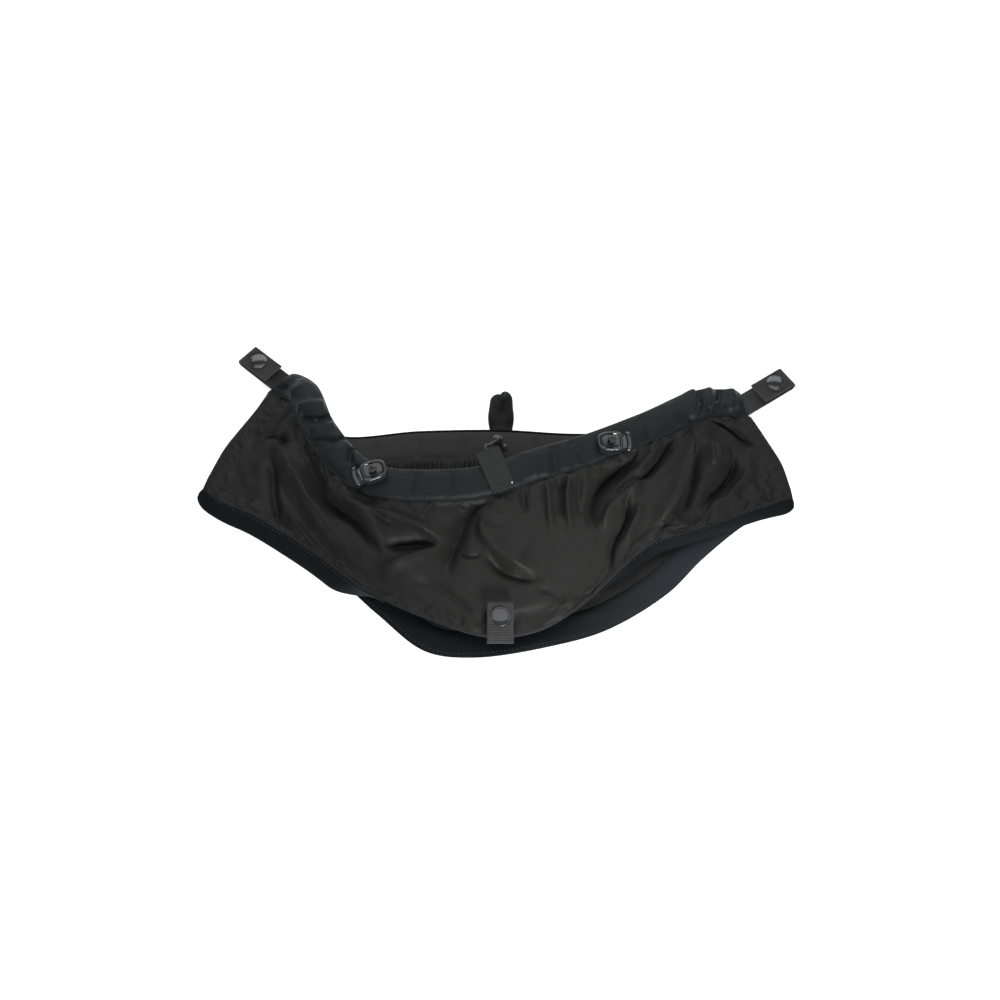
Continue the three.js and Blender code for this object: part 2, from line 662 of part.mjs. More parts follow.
// The waist pull: a tab that lies over the front waistband, on a cord with a ball and a bead at the back one.
const pullSeat = acrossBand(frontBand(0.5), BAND_WIDTH / 2, BAND_THICKNESS / 2 + GAP);
const pullWay = V(Math.cos(radians(PULL_HEADING)), Math.sin(radians(PULL_HEADING)), 0);
const pullFace = frontBand(0.5).face;
const pullForward = pullWay.addScaledVector(pullFace, -pullWay.dot(pullFace)).normalize();
const pullRoot = pullSeat.clone().addScaledVector(pullForward, PULL_OVERHANG - PULL_LENGTH);
const pullFrame = frameAt(pullRoot, pullForward, pullFace);
add(
  "rear_pull_tab",
  slab([0, PULL_LENGTH], [-PULL_WIDTH / 2, PULL_WIDTH / 2], [0, PULL_THICKNESS]),
  MATERIALS.webbing,
  pullFrame,
);

const onBackBand = (x, a, diameter) => {
  const frame = backBand(0.5 + x / (2 * HALF_WIDTH));
  return acrossBand(frame, a, BACK_BAND_THICKNESS / 2 + GAP + diameter / 2);
};
const ballPlace = onBackBand(-3, 0.4 * BAND_WIDTH, BALL_DIAMETER);
const beadPlace = onBackBand(4, 0.6 * BAND_WIDTH, BEAD_DIAMETER);
const ball = new THREE.SphereGeometry(BALL_DIAMETER / 2, 14, 10).rotateX(Math.PI / 2);
const bead = new THREE.SphereGeometry(BEAD_DIAMETER / 2, 10, 8).rotateX(Math.PI / 2);
add("rear_pull_ball", ball, MATERIALS.plastic).position.copy(ballPlace);
add("rear_pull_bead", bead, MATERIALS.plastic).position.copy(beadPlace);

const cordTop = pullRoot.clone().addScaledVector(pullForward, -GAP);
cordTop.addScaledVector(pullFace, PULL_THICKNESS / 2);
const cordWay = cordTop.clone().sub(ballPlace).normalize();
const cordFoot = ballPlace.clone().addScaledVector(cordWay, BALL_DIAMETER / 2 + GAP + PULL_CORD / 2);
const pullCord = spline([
  cordFoot,
  cordFoot.clone().lerp(cordTop, 0.35).add(V(0, 0, 2)),
  cordFoot.clone().lerp(cordTop, 0.7).add(V(0, 0, 3)),
  cordTop.clone().addScaledVector(pullForward, -PULL_CORD),
  cordTop,
]);
const pullSection = new THREE.Shape().absarc(0, 0, PULL_CORD / 2, 0, 2 * Math.PI);
const pullPath = { extrudePath: pullCord, steps: 14, curveSegments: 4, bevelEnabled: false };
add("rear_pull_cord", new THREE.ExtrudeGeometry(pullSection, pullPath), MATERIALS.cord);

// The origin goes on the bench, under the middle of the whole skirt.
const box = new THREE.Box3().setFromObject(skirt, true);
const centre = box.getCenter(V(0, 0, 0));
skirt.position.set(-centre.x, -centre.y, -box.min.z);

export default skirt;
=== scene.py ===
# %% [markdown]
# # A kayak spray skirt, laid on its back
#
# A spray skirt closes the gap between a paddler and the cockpit rim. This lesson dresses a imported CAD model
# of one: the model gives every size and every joint, and the cells below give the cloth, cord, plastic and
# metal their real shapes and finishes. All lengths are in metres, and MM turns millimetres into them.

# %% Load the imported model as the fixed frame
import json
import math

import bmesh
import bpy
import numpy as np
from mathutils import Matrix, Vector


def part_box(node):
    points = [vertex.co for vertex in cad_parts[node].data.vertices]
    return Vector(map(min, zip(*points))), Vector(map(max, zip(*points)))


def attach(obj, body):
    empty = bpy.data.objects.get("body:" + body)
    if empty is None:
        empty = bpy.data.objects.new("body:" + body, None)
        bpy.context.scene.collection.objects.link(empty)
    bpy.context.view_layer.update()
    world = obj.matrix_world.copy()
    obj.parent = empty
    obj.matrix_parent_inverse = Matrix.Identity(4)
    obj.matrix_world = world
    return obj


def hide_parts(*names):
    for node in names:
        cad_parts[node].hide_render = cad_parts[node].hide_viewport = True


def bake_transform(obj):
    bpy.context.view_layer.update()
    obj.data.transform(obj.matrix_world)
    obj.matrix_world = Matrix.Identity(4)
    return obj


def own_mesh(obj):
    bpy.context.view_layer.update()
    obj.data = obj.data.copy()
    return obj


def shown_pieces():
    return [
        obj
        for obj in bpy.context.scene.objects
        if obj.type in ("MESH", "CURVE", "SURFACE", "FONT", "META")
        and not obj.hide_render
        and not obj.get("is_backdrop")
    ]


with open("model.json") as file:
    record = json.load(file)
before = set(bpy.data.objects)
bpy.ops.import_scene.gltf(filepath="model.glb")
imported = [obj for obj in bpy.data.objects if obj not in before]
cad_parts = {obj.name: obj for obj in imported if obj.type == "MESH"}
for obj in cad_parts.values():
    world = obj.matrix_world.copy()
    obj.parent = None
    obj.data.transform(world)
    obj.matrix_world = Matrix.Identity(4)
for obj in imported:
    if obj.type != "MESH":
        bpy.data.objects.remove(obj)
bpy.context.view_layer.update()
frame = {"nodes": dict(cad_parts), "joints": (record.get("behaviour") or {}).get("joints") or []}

MM = 0.001
JOINTS = {joint["name"]: joint for joint in frame["joints"]}

# %% [markdown]
# Everything sewn follows four edges: the free edges of both waistbands, the lip where the front panel meets
# its hem, and the outer edge of the back hem. Bezier curves could hold them, but numbers are easier to reuse
# for seams, folds and stitches, so each edge is a smooth curve through listed points, read by its share
# of length. The points are shares of the half width, the depth and the loft.

# %% Curves by their share of length
HALF_WIDTH = 237 * MM
DEPTH = 130 * MM
LOFT = 36 * MM
UP = np.array([0.0, 0.0, 1.0])


def unit(v):
    return v / np.linalg.norm(v, axis=-1, keepdims=True)


def mix(a, b, t):
    return a + (b - a) * t


def smooth(low, high, x):
    t = np.clip((np.asarray(x, float) - low) / (high - low), 0, 1)
    return t * t * (3 - 2 * t)


class Outline:
    """A centripetal Catmull-Rom curve through points, read by its share of length."""

    STEPS = 60

    def __init__(self, points, scale=1.0, shift=0.0):
        p = np.array([(*point, 0)[:3] for point in points], float) * scale + shift
        padded = np.vstack([2 * p[0] - p[1], p, 2 * p[-1] - p[-2]])
        w = np.linspace(0, 1, self.STEPS, endpoint=False)[:, None]
        spans = []
        for p0, p1, p2, p3 in zip(padded, padded[1:], padded[2:], padded[3:]):
            k0, k1, k2 = [math.sqrt(np.linalg.norm(leg)) for leg in (p1 - p0, p2 - p1, p3 - p2)]
            leave = ((p1 - p0) / k0 - (p2 - p0) / (k0 + k1) + (p2 - p1) / k1) * k1
            arrive = ((p2 - p1) / k1 - (p3 - p1) / (k1 + k2) + (p3 - p2) / k2) * k1
            blend = 3 * w**2 - 2 * w**3
            spans.append(p1 + (p2 - p1) * blend + leave * (w**3 - 2 * w**2 + w) + arrive * (w**3 - w**2))
        self.fine = np.vstack([*spans, p[-1:]])
        run = np.linalg.norm(np.diff(self.fine, axis=0), axis=1).cumsum()
        self.length = run[-1]
        self.share = np.concatenate([[0], run / run[-1]])

    def at(self, s):
        return np.stack([np.interp(s, self.share, self.fine[:, k]) for k in range(3)], -1)

    def along(self, s, reach=0.003):
        s = np.asarray(s, float)
        return unit(self.at(np.minimum(s + reach, 1)) - self.at(np.maximum(s - reach, 0)))


# %% [markdown]
# A waistband or a hem is a strip: it follows an edge, has a way across and a face. The same small function
# serves all four strips, so panels that start where a strip ends always meet it.

# %% Strips along the edges
GAP = 0.4 * MM
CLOTH = 1.2 * MM
BAND_WIDTH = 27 * MM
BAND_THICKNESS = 6 * MM
BACK_BAND_THICKNESS = 4 * MM
WEBBING = 1.4 * MM
WEBBING_WIDTH = 20 * MM
SIZES = (HALF_WIDTH, DEPTH, LOFT)
CORNER = (BACK_BAND_THICKNESS + WEBBING + 2 * GAP + BAND_THICKNESS / 2) / LOFT
WAIST_FRONT = [
    (-0.734, 1.01, CORNER), (-0.645, 0.86, 0.5), (-0.562, 0.52, 0.7), (-0.42, 0.215, 0.82),
    (-0.2, 0.165, 0.87), (-0.06, 0.19, 0.89), (0.1, 0.3, 0.89), (0.28, 0.415, 0.86),
    (0.477, 0.585, 0.78), (0.69, 0.81, 0.55), (0.846, 0.865, CORNER),
]
WAIST_BACK = [
    (-0.746, 0.97), (-0.665, 0.68), (-0.56, 0.54), (-0.28, 0.565), (0, 0.57),
    (0.27, 0.545), (0.55, 0.585), (0.715, 0.73), (0.85, 0.825),
]
HEM_FRONT = [
    (-0.975, 0.15, 0.34), (-0.8, -0.055, 0.4), (-0.6, -0.305, 0.44), (-0.44, -0.565, 0.47),
    (-0.24, -0.775, 0.46), (-0.04, -0.895, 0.42), (0.12, -0.86, 0.42), (0.27, -0.69, 0.45),
    (0.4, -0.45, 0.47), (0.5, -0.28, 0.45), (0.7, -0.125, 0.4), (0.85, 0.02, 0.36), (0.955, 0.115, 0.33),
]
HEM_BACK = [
    (-0.99, 0.1), (-0.8, -0.13), (-0.57, -0.41), (-0.4, -0.7), (-0.24, -0.94), (-0.085, -0.98),
    (0.17, -0.905), (0.35, -0.8), (0.55, -0.565), (0.675, -0.33), (0.83, -0.09), (0.965, 0.05),
]


def strip(curve, s, tilt, side=1):
    """Point, direction, way across and face of a strip whose way across falls by the tilt."""
    s = np.asarray(s, float)
    along = curve.along(s)
    level = side * unit(np.stack([along[..., 1], -along[..., 0], 0 * s], -1))
    tilt = (np.asarray(tilt, float) + 0 * s)[..., None]
    across = level * np.cos(tilt) - UP * np.sin(tilt)
    return curve.at(s), along, across, side * unit(np.cross(across, along))


def over(strip_frame, a, b=0.0):
    """The point a across a strip and b above its face."""
    point, _, across, face = strip_frame
    a = (np.asarray(a, float) + 0 * point[..., 0])[..., None]
    b = (np.asarray(b, float) + 0 * point[..., 0])[..., None]
    return point + across * a + face * b


def band_tilt(degrees, s):
    return math.radians(degrees) * np.sin(np.pi * np.asarray(s, float)) ** 2


# The grab loop is sewn to the middle of the back waistband, so its place in the frame gives the shift
# between the outlines and the model.
loop_low, loop_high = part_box("rear_grab_loop")
unshifted = over(strip(Outline(WAIST_BACK, SIZES), 0.5, band_tilt(8, 0.5)), -2 * GAP)
SHIFT = np.array([(loop_low.x + loop_high.x) / 2, loop_low.y - unshifted[1], 0])
waist_front, waist_back, hem_front, hem_back = [
    Outline(points, SIZES, SHIFT) for points in (WAIST_FRONT, WAIST_BACK, HEM_FRONT, HEM_BACK)
]
print("shift", SHIFT.round(5), "waist", round(waist_front.length, 3), "hem", round(hem_front.length, 3))


def front_band(s):
    return strip(waist_front, s, band_tilt(10, s))


def back_band(s):
    point, along, across, face = strip(waist_back, s, band_tilt(8, s))
    point[..., 2] = BACK_BAND_THICKNESS / 2 - across[..., 2] * BAND_WIDTH
    return point, along, across, face


# %% [markdown]
# The camera looks down at 60 degrees, as a catalogue picture of a thing on a table does.

# %% Camera
LOOK_DOWN = math.radians(60)
LOOK_AT_HEIGHT = 20 * MM
CAMERA_AWAY = 1.1


def linked(name, data):
    """A new object in the scene."""
    obj = bpy.data.objects.new(name, data)
    bpy.context.scene.collection.objects.link(obj)
    return obj


look_at = Vector(SHIFT) + Vector((0, 0, LOOK_AT_HEIGHT))
camera = linked("camera", bpy.data.cameras.new("camera"))
camera.data.lens = 50
camera.data.sensor_width = 36
camera.location = look_at + CAMERA_AWAY * Vector((0, -math.cos(LOOK_DOWN), math.sin(LOOK_DOWN)))
camera.rotation_euler = (math.pi / 2 - LOOK_DOWN, 0, 0)
bpy.context.scene.camera = camera

# %% [markdown]
# Cloth pieces start as grids of points. A grid becomes a mesh, and each of its points also keeps where it
# lies on the flat cloth, in metres. The weave in the materials reads that, so threads follow the cloth round
# folds and corners without any image or unwrapping.

# %% Meshes from grids of points
LAY = "lay"


def piece(name, points, faces, lay=None):
    mesh = bpy.data.meshes.new(name)
    mesh.from_pydata(np.asarray(points, float).reshape(-1, 3).tolist(), [], faces)
    mesh.polygons.foreach_set("use_smooth", [True] * len(mesh.polygons))
    flat = np.zeros((len(mesh.vertices), 3), np.float32)
    if lay is not None:
        flat[:, :2] = np.asarray(lay).reshape(-1, 2)
    mesh.attributes.new(LAY, "FLOAT_VECTOR", "POINT").data.foreach_set("vector", flat.ravel())
    mesh.validate()
    return linked(name, mesh)


def grid_faces(rows, columns, ring=False):
    """Quads of a grid. In a ring the last column joins the first."""
    faces = []
    for i in range(rows - 1):
        for j in range(columns if ring else columns - 1):
            k = (j + 1) % columns
            faces.append((i * columns + j, i * columns + k, (i + 1) * columns + k, (i + 1) * columns + j))
    return faces


def outward(obj):
    """Turns the faces of a closed body to point out of it."""
    work = bmesh.new()
    work.from_mesh(obj.data)
    bmesh.ops.recalc_face_normals(work, faces=work.faces)
    if work.calc_volume(signed=True) < 0:
        bmesh.ops.reverse_faces(work, faces=work.faces)
    work.to_mesh(obj.data)
    work.free()
    return obj


def finished(obj, kind=None, **settings):
    """Adds one modifier, if one is named, and applies all of them to the mesh."""
    if kind:
        modifier = obj.modifiers.new(kind.lower(), kind)
        for key, value in settings.items():
            setattr(modifier, key, value)
    graph = bpy.context.evaluated_depsgraph_get()
    mesh = bpy.data.meshes.new_from_object(
        obj.evaluated_get(graph), preserve_all_data_layers=True, depsgraph=graph
    )
    obj.modifiers.clear()
    obj.data = mesh
    return obj


def body_of_rings(name, rings, lay=None):
    """A closed body through rings of points, with a flat cap at each end."""
    rings = np.asarray(rings, float)
    rows, columns = rings.shape[:2]
    faces = grid_faces(rows, columns, ring=True)
    faces.append(tuple(range(columns)))
    faces.append(tuple((rows - 1) * columns + j for j in reversed(range(columns))))
    return outward(piece(name, rings, faces, lay))


# %% [markdown]
# ## Finishes
#
# Every finish is worked out by nodes. Joining nodes by hand takes many lines, so a small class stands for one
# output of the node tree: adding or multiplying two of them adds the Math node that does it. Coloured values
# go through Mix nodes instead, because a Math node would turn them grey.

# %% Shader expressions
class Wire:
    """One output in a node tree, which can be used in Python expressions."""

    def __init__(self, finish, socket):
        self.finish = finish
        self.socket = socket

    def maths(self, operation, *values):
        inputs = dict(enumerate(values))
        return self.finish.node("ShaderNodeMath", {"operation": operation}, inputs)

    def __add__(self, other):
        return self.maths("ADD", self, other)

    def __sub__(self, other):
        return self.maths("SUBTRACT", self, other)

    def __rsub__(self, other):
        return self.maths("SUBTRACT", other, self)

    def __mul__(self, other):
        return self.maths("MULTIPLY", self, other)

    def __truediv__(self, other):
        return self.maths("DIVIDE", self, other)

    def __pow__(self, other):
        return self.maths("POWER", self, other)

    __radd__ = __add__
    __rmul__ = __mul__

    def wave(self, pitch):
        """A smooth wave from 0 to 1 that repeats once in each pitch."""
        return 0.5 + 0.5 * self.maths("SINE", self * (2 * math.pi / pitch))

    def either(self, other):
        return self.maths("MAXIMUM", self, other)


class Finish:
    """A procedural material, built around one Principled shader."""

    def __init__(self, name):
        self.material = bpy.data.materials.new(name)
        self.material.use_nodes = True
        self.tree = self.material.node_tree
        self.shader = self.tree.nodes["Principled BSDF"]

    def node(self, kind, settings=None, inputs=None, output=0):
        """Adds a node: its settings first, then the values or links of its sockets."""
        node = self.tree.nodes.new(kind)
        for key, value in (settings or {}).items():
            if key == "stops":
                self.set_stops(node.color_ramp, value)
            else:
                setattr(node, key, value)
        for key, value in (inputs or {}).items():
            self.feed(node.inputs[key], value)
        return Wire(self, node.outputs[output])

    def set_stops(self, ramp, stops):
        for place, shade in stops[1:-1]:
            ramp.elements.new(place).color = (shade, shade, shade, 1)
        for element, (place, shade) in ((ramp.elements[0], stops[0]), (ramp.elements[-1], stops[-1])):
            element.position = place
            element.color = (shade, shade, shade, 1)

    def feed(self, socket, value):
        if isinstance(value, Wire):
            self.tree.links.new(value.socket, socket)
        elif socket.type == "RGBA" and len(value) == 3:
            socket.default_value = (*value, 1)
        else:
            socket.default_value = value

    def set(self, **inputs):
        """Values or links for the Principled shader, with _ for a space in a socket's name."""
        for key, value in inputs.items():
            self.feed(self.shader.inputs[key.replace("_", " ")], value)
        return self

    def lay(self):
        """The place on the flat cloth, along and across, in metres."""
        vector = self.node("ShaderNodeAttribute", {"attribute_name": LAY}, output=1)
        split = self.node("ShaderNodeSeparateXYZ", None, {0: vector})
        return split, Wire(self, split.socket.node.outputs[1])

    def noise(self, size, detail=3.0, rough=0.5, vector=None):
        """Noise from 0 to 1 with patches of about this size, in metres."""
        place = vector or self.node("ShaderNodeTexCoord", output=3)
        inputs = {"Vector": place, "Scale": 1 / size, "Detail": detail, "Roughness": rough}
        return self.node("ShaderNodeTexNoise", None, inputs)

    def ramp(self, value, *stops):
        return self.node("ShaderNodeValToRGB", {"stops": stops}, {0: value})

    def blend(self, amount, first, second):
        """A colour between two, by an amount from 0 to 1."""
        inputs = {0: amount, 6: first, 7: second}
        return self.node("ShaderNodeMix", {"data_type": "RGBA"}, inputs, output=2)

    def crest(self):
        """1 on sharp outer edges and 0 elsewhere: where cloth and metal wear, and where plastic gets a
        painted highlight.
        """
        pointy = self.node("ShaderNodeNewGeometry", output=7)
        return self.ramp(pointy, (0.5, 0.0), (0.62, 1.0))

    def bump(self, height, depth, strength=1.0, under=None):
        inputs = {"Height": height, "Distance": depth, "Strength": strength}
        if under:
            inputs["Normal"] = under
        return self.node("ShaderNodeBump", None, inputs)


def shade(value, tint=(1, 1, 1)):
    """A linear colour from one lightness and a tint."""
    return tuple(value * part for part in tint)


# %% [markdown]
# The panels are coated nylon: a fine plain weave with a soft sheen, small creases and paler scuffs where
# folds rub. A bitmap could hold the weave, but two crossed waves give the same threads at any size.

# %% Woven cloth
# How long the ramp into the painted light on the cloth is, in metres.
LIT_RAMP_LENGTH = 0.15
# How far the painted pool of light on the cloth reaches, in metres.
LIT_POOL_FROM = 0.02
LIT_POOL_TO = 0.15


def woven(
    name, colour, pitch=0.5 * MM, roughness=0.55, sheen=0.04, sheen_tint=(1, 1, 1), crumple=1.0, wear=1.0,
    gloss=0.2, lit_from=None, lit_pool_at=None,
):
    """Plain-woven cloth, with a painted pool of light around one place on the flat cloth, and painted light
    from one place on.
    """
    cloth = Finish(name)
    along, across = cloth.lay()
    warp = along.wave(pitch)
    weft = across.wave(pitch)
    weave = warp.either(weft) * 0.7 + warp * weft * 0.3
    patches = cloth.noise(38 * MM, detail=4)
    creases = cloth.noise(7 * MM, detail=6, rough=0.6)
    fine = cloth.noise(1.6 * MM, detail=3)
    rubbed = cloth.crest() * cloth.ramp(creases, (0.4, 0.0), (0.65, 1.0)) * (0.6 * wear)
    lit = cloth.blend(patches, shade(0.78, colour), shade(1.22, colour))
    # A painted pool of light: the colour is painted up to 2.3 times lighter around one place, fading with
    # distance.
    if lit_pool_at:
        away_along = along - lit_pool_at[0]
        away_across = across - lit_pool_at[1]
        away = (away_along * away_along + away_across * away_across) ** 0.5
        lit = cloth.blend(cloth.ramp(away, (LIT_POOL_FROM, 1.0), (LIT_POOL_TO, 0.0)), lit, shade(2.3, colour))
    # Painted light: from one place along the cloth on, the colour is painted up to 4.5 times lighter.
    if lit_from:
        faded = cloth.ramp(along, (lit_from, 0.0), (lit_from + LIT_RAMP_LENGTH, 1.0))
        lit = cloth.blend(faded, lit, shade(4.5, colour))
    # The thread crests are painted lighter: a painted highlight on the weave, with painted shade between the
    # threads.
    thread = cloth.blend(weave * 0.22, lit, shade(1.9, colour))
    worn = cloth.blend(rubbed, thread, shade(2.6, colour))
    crumples = cloth.bump(creases, 1.1 * MM * crumple, 0.35)
    grain = cloth.bump(fine, 0.25 * MM, 0.35, crumples)
    threads = cloth.bump(weave, 0.08 * MM, 0.5, grain)
    matt = roughness + (patches - 0.5) * 0.18 + (creases - 0.5) * 0.12 - rubbed * 0.08
    return cloth.set(
        Base_Color=worn, Roughness=matt, Normal=threads,
        Sheen_Weight=sheen, Sheen_Roughness=0.45, Sheen_Tint=(*sheen_tint, 1), Specular_IOR_Level=gloss,
    )


# The front panel gets a painted pool of light right of its middle, near the lip.
NYLON = woven("panel_nylon", (0.0092, 0.0091, 0.0089), sheen=0.03, lit_pool_at=(0.335, 0.082))
BAND = woven(
    "band_fabric", (0.0066, 0.0082, 0.0087), pitch=0.45 * MM, roughness=0.5, sheen=0.04,
    sheen_tint=(0.8, 0.92, 1.0), crumple=0.5, wear=0.5,
)
LINING = woven("band_lining", (0.033, 0.033, 0.0325), roughness=0.62, sheen=0.05, crumple=0.4, wear=0.3)
HEM = woven(
    "hem_fabric", (0.0048, 0.0053, 0.0062), pitch=0.45 * MM, roughness=0.6, sheen=0.01,
    sheen_tint=(0.78, 0.88, 1.0), crumple=0.6, wear=0.5, gloss=0.08,
)
# The back hem is the hem fabric with painted light: a little lighter all over, and much lighter on its right
# part.
LIT_BACK_HEM = woven(
    "back_hem_fabric_painted_light", (0.0058, 0.0066, 0.008), pitch=0.45 * MM, roughness=0.5, sheen=0.02,
    sheen_tint=(0.78, 0.88, 1.0), crumple=0.8, wear=0.5, gloss=0.1, lit_from=0.3,
)

# %% [markdown]
# Webbing is woven thick, so its ribs show. Each rib runs across the ribbon, and the long threads that bind it
# break it into small bricks. The ribs are in the bump and also a little in the colour, because the valleys
# between them hold shadow.

# %% Ribbed webbing, thread, elastic and cord
RIB = 1.25 * MM


def ribbed(name, colour, rib=RIB, roughness=0.6):
    strap = Finish(name)
    along, across = strap.lay()
    ribs = along.wave(rib)
    bricks = across.wave(1.7 * rib)
    height = ribs * 0.85 + bricks * 0.15
    fibres = strap.noise(0.9 * MM, detail=4)
    dusty = strap.noise(14 * MM, detail=3)
    base = strap.blend(height, shade(0.3, colour), shade(1.4, colour))
    faded = strap.blend(dusty * 0.5, base, shade(1.6, colour))
    ridges = strap.bump(height, 0.4 * MM, 1.0)
    fuzz = strap.bump(fibres, 0.12 * MM, 0.5, ridges)
    return strap.set(
        Base_Color=faded, Roughness=roughness + (fibres - 0.5) * 0.2, Normal=fuzz,
        Sheen_Weight=0.06, Sheen_Roughness=0.4, Specular_IOR_Level=0.25,
    )


def braided(name, colour, pitch=1.6 * MM):
    cord = Finish(name)
    along, across = cord.lay()
    left = (along + across).wave(pitch)
    right = (along - across).wave(pitch)
    plait = left.either(right)
    fibres = cord.noise(0.7 * MM, detail=3)
    # The plait's valleys are painted darker and its crests lighter: painted shade between the strands.
    base = cord.blend(plait, shade(0.45, colour), shade(1.3, colour))
    ridges = cord.bump(plait, 0.25 * MM, 0.8)
    fuzz = cord.bump(fibres, 0.1 * MM, 0.5, ridges)
    return cord.set(
        Base_Color=base, Roughness=0.6 + (fibres - 0.5) * 0.2, Normal=fuzz,
        Sheen_Weight=0.06, Sheen_Roughness=0.5,
    )


WEBBING_FINISH = ribbed("webbing", (0.034, 0.034, 0.034))
TAB_FINISH = ribbed("pull_webbing", (0.016, 0.017, 0.0168), rib=0.8 * MM, roughness=0.6)
LOOP_FINISH = ribbed("loop_webbing", (0.016, 0.0165, 0.017))
ELASTIC = ribbed("elastic", (0.03, 0.03, 0.03), rib=0.9 * MM, roughness=0.8)
CORD = braided("cord", (0.02, 0.02, 0.021))
THREAD = braided("thread", (0.03, 0.031, 0.033), pitch=0.5 * MM)

# %% [markdown]
# The cord locks and the ball are moulded plastic: even in colour, glossy, with the faint orange peel of a
# tool's surface and fine scratches. The snaps are enamelled brass, a clear gloss over a dark base, rubbed
# thin along the rim. The eyelets and springs are nickel plate.

# %% Plastic and metal
def moulded(name, colour, roughness=0.26):
    plastic = Finish(name)
    peel = plastic.noise(1.1 * MM, detail=2)
    scratches = plastic.noise(0.5 * MM, detail=6, rough=0.7)
    cloudy = plastic.noise(6 * MM, detail=3)
    base = plastic.blend(cloudy, shade(0.85, colour), shade(1.15, colour))
    # The sharp edges are painted lighter: partly edge wear, partly a painted highlight along them.
    worn = plastic.blend(plastic.crest() * 0.3, base, shade(1.8, colour))
    surface = plastic.bump(peel, 0.02 * MM, 0.3)
    rough = roughness + (scratches - 0.5) * 0.08 + (cloudy - 0.5) * 0.06
    return plastic.set(
        Base_Color=worn, Roughness=rough, Normal=surface, Specular_IOR_Level=0.6, Coat_Weight=0.2
    )


def plated(name, colour, rim_colour, roughness, metallic, coat=0.0):
    metal = Finish(name)
    cloudy = metal.noise(3 * MM, detail=4)
    scratches = metal.noise(0.4 * MM, detail=6, rough=0.7)
    rubbed = metal.crest() * metal.ramp(cloudy, (0.35, 0.0), (0.6, 1.0)) * 0.7
    base = metal.blend(cloudy, shade(0.85, colour), shade(1.15, colour))
    worn = metal.blend(rubbed, base, rim_colour)
    rough = roughness + (scratches - 0.5) * 0.1 + rubbed * 0.15
    surface = metal.bump(scratches, 0.01 * MM, 0.3)
    return metal.set(
        Base_Color=worn, Roughness=rough, Normal=surface, Metallic=metallic,
        Coat_Weight=coat, Coat_Roughness=0.08, Specular_IOR_Level=0.6,
    )


PLASTIC = moulded("moulded_plastic", (0.017, 0.018, 0.02), roughness=0.16)
BALL_PLASTIC = moulded("ball_plastic", (0.06, 0.06, 0.061), roughness=0.3)
SNAP = plated("snap_metal", (0.03, 0.031, 0.034), (0.2, 0.19, 0.16), 0.12, metallic=0.2, coat=0.4)
STEEL = plated("steel", (0.36, 0.37, 0.38), (0.5, 0.5, 0.5), 0.3, metallic=1.0)


def dress(obj, finish):
    """Gives a piece its finish."""
    obj.data.materials.clear()
    obj.data.materials.append(finish.material)
    return obj


def fitted(obj, body, finish, slot, *nodes):
    """Puts a piece on its body in place of these CAD nodes, if any, and dresses it."""
    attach(obj, body)
    if nodes:
        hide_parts(*nodes)
    return dress(obj, finish)


# %% [markdown]
# ## Folds
#
# A fold is a line on the cloth, as a tailor would chalk it, with a height and a width on each side. A wide
# side and a narrow one make cloth that laps over; a negative height makes a valley. Sculpting by hand would
# look as good but could not be read or changed afterwards.

# %% One fold from a line, a height and two widths
CREST_ROUNDING = 0.06
FOLD_FALL = 1.7
FOLD_POWER = 1.25
LATTICE = 97
LATTICE_START = (31.0, 17.0)


def nearest(points, line):
    """Each point's distance to a line of points, positive on its left, and the share along the line."""
    leg = np.diff(line, axis=0)
    size = np.linalg.norm(leg, axis=1)
    run = np.concatenate([[0], size.cumsum()])
    away = points[:, None] - line[:-1]
    t = np.clip((away * leg).sum(-1) / size**2, 0, 1)
    far = np.linalg.norm(away - leg * t[..., None], axis=-1)
    k = far.argmin(1)
    here = np.arange(len(points))
    turn = leg[k, 0] * away[here, k, 1] - leg[k, 1] * away[here, k, 0]
    return np.copysign(far[here, k], turn), (run[k] + t[here, k] * size[k]) / run[-1]


def fold(points, line, lift, left, right, ends=0.2):
    """The height that a fold adds at each 2-D point. It fades out over its ends."""
    curve = Outline(line)
    distance, share = nearest(points, curve.at(np.linspace(0, 1, 30))[:, :2])
    width = np.where(distance > 0, left, right)
    fade = smooth(0, ends, share) * (1 - smooth(1 - ends, 1, share))
    steep = np.sqrt((distance / width) ** 2 + CREST_ROUNDING) - math.sqrt(CREST_ROUNDING)
    return lift * np.exp(-FOLD_FALL * np.maximum(steep, 0) ** FOLD_POWER) * fade


def ripple(u, v, size, seed):
    """Smooth random heights from -1 to 1, in bumps about size across."""
    lattice = np.random.default_rng(seed).uniform(-1, 1, (LATTICE, LATTICE))
    x, y = np.asarray(u) / size + LATTICE_START[0], np.asarray(v) / size + LATTICE_START[1]
    i, j = np.floor(x).astype(int), np.floor(y).astype(int)
    fx, fy = smooth(0, 1, x - i), smooth(0, 1, y - j)

    def corner(di, dj):
        return lattice[(i + di) % LATTICE, (j + dj) % LATTICE]

    return mix(mix(corner(0, 0), corner(1, 0), fx), mix(corner(0, 1), corner(1, 1), fx), fy)


# %% [markdown]
# ## The front panel
#
# The front panel is one piece of nylon between the waistband and the hem. It lies crumpled over itself. The
# long folds are drawn as lines on the panel, in shares of its length and height, with a lift and two widths
# in millimetres. Then a short cloth simulation with spare cloth, held by its edges, adds the small buckles
# that nobody could draw. The simulation runs on every second point, and its moves are capped.

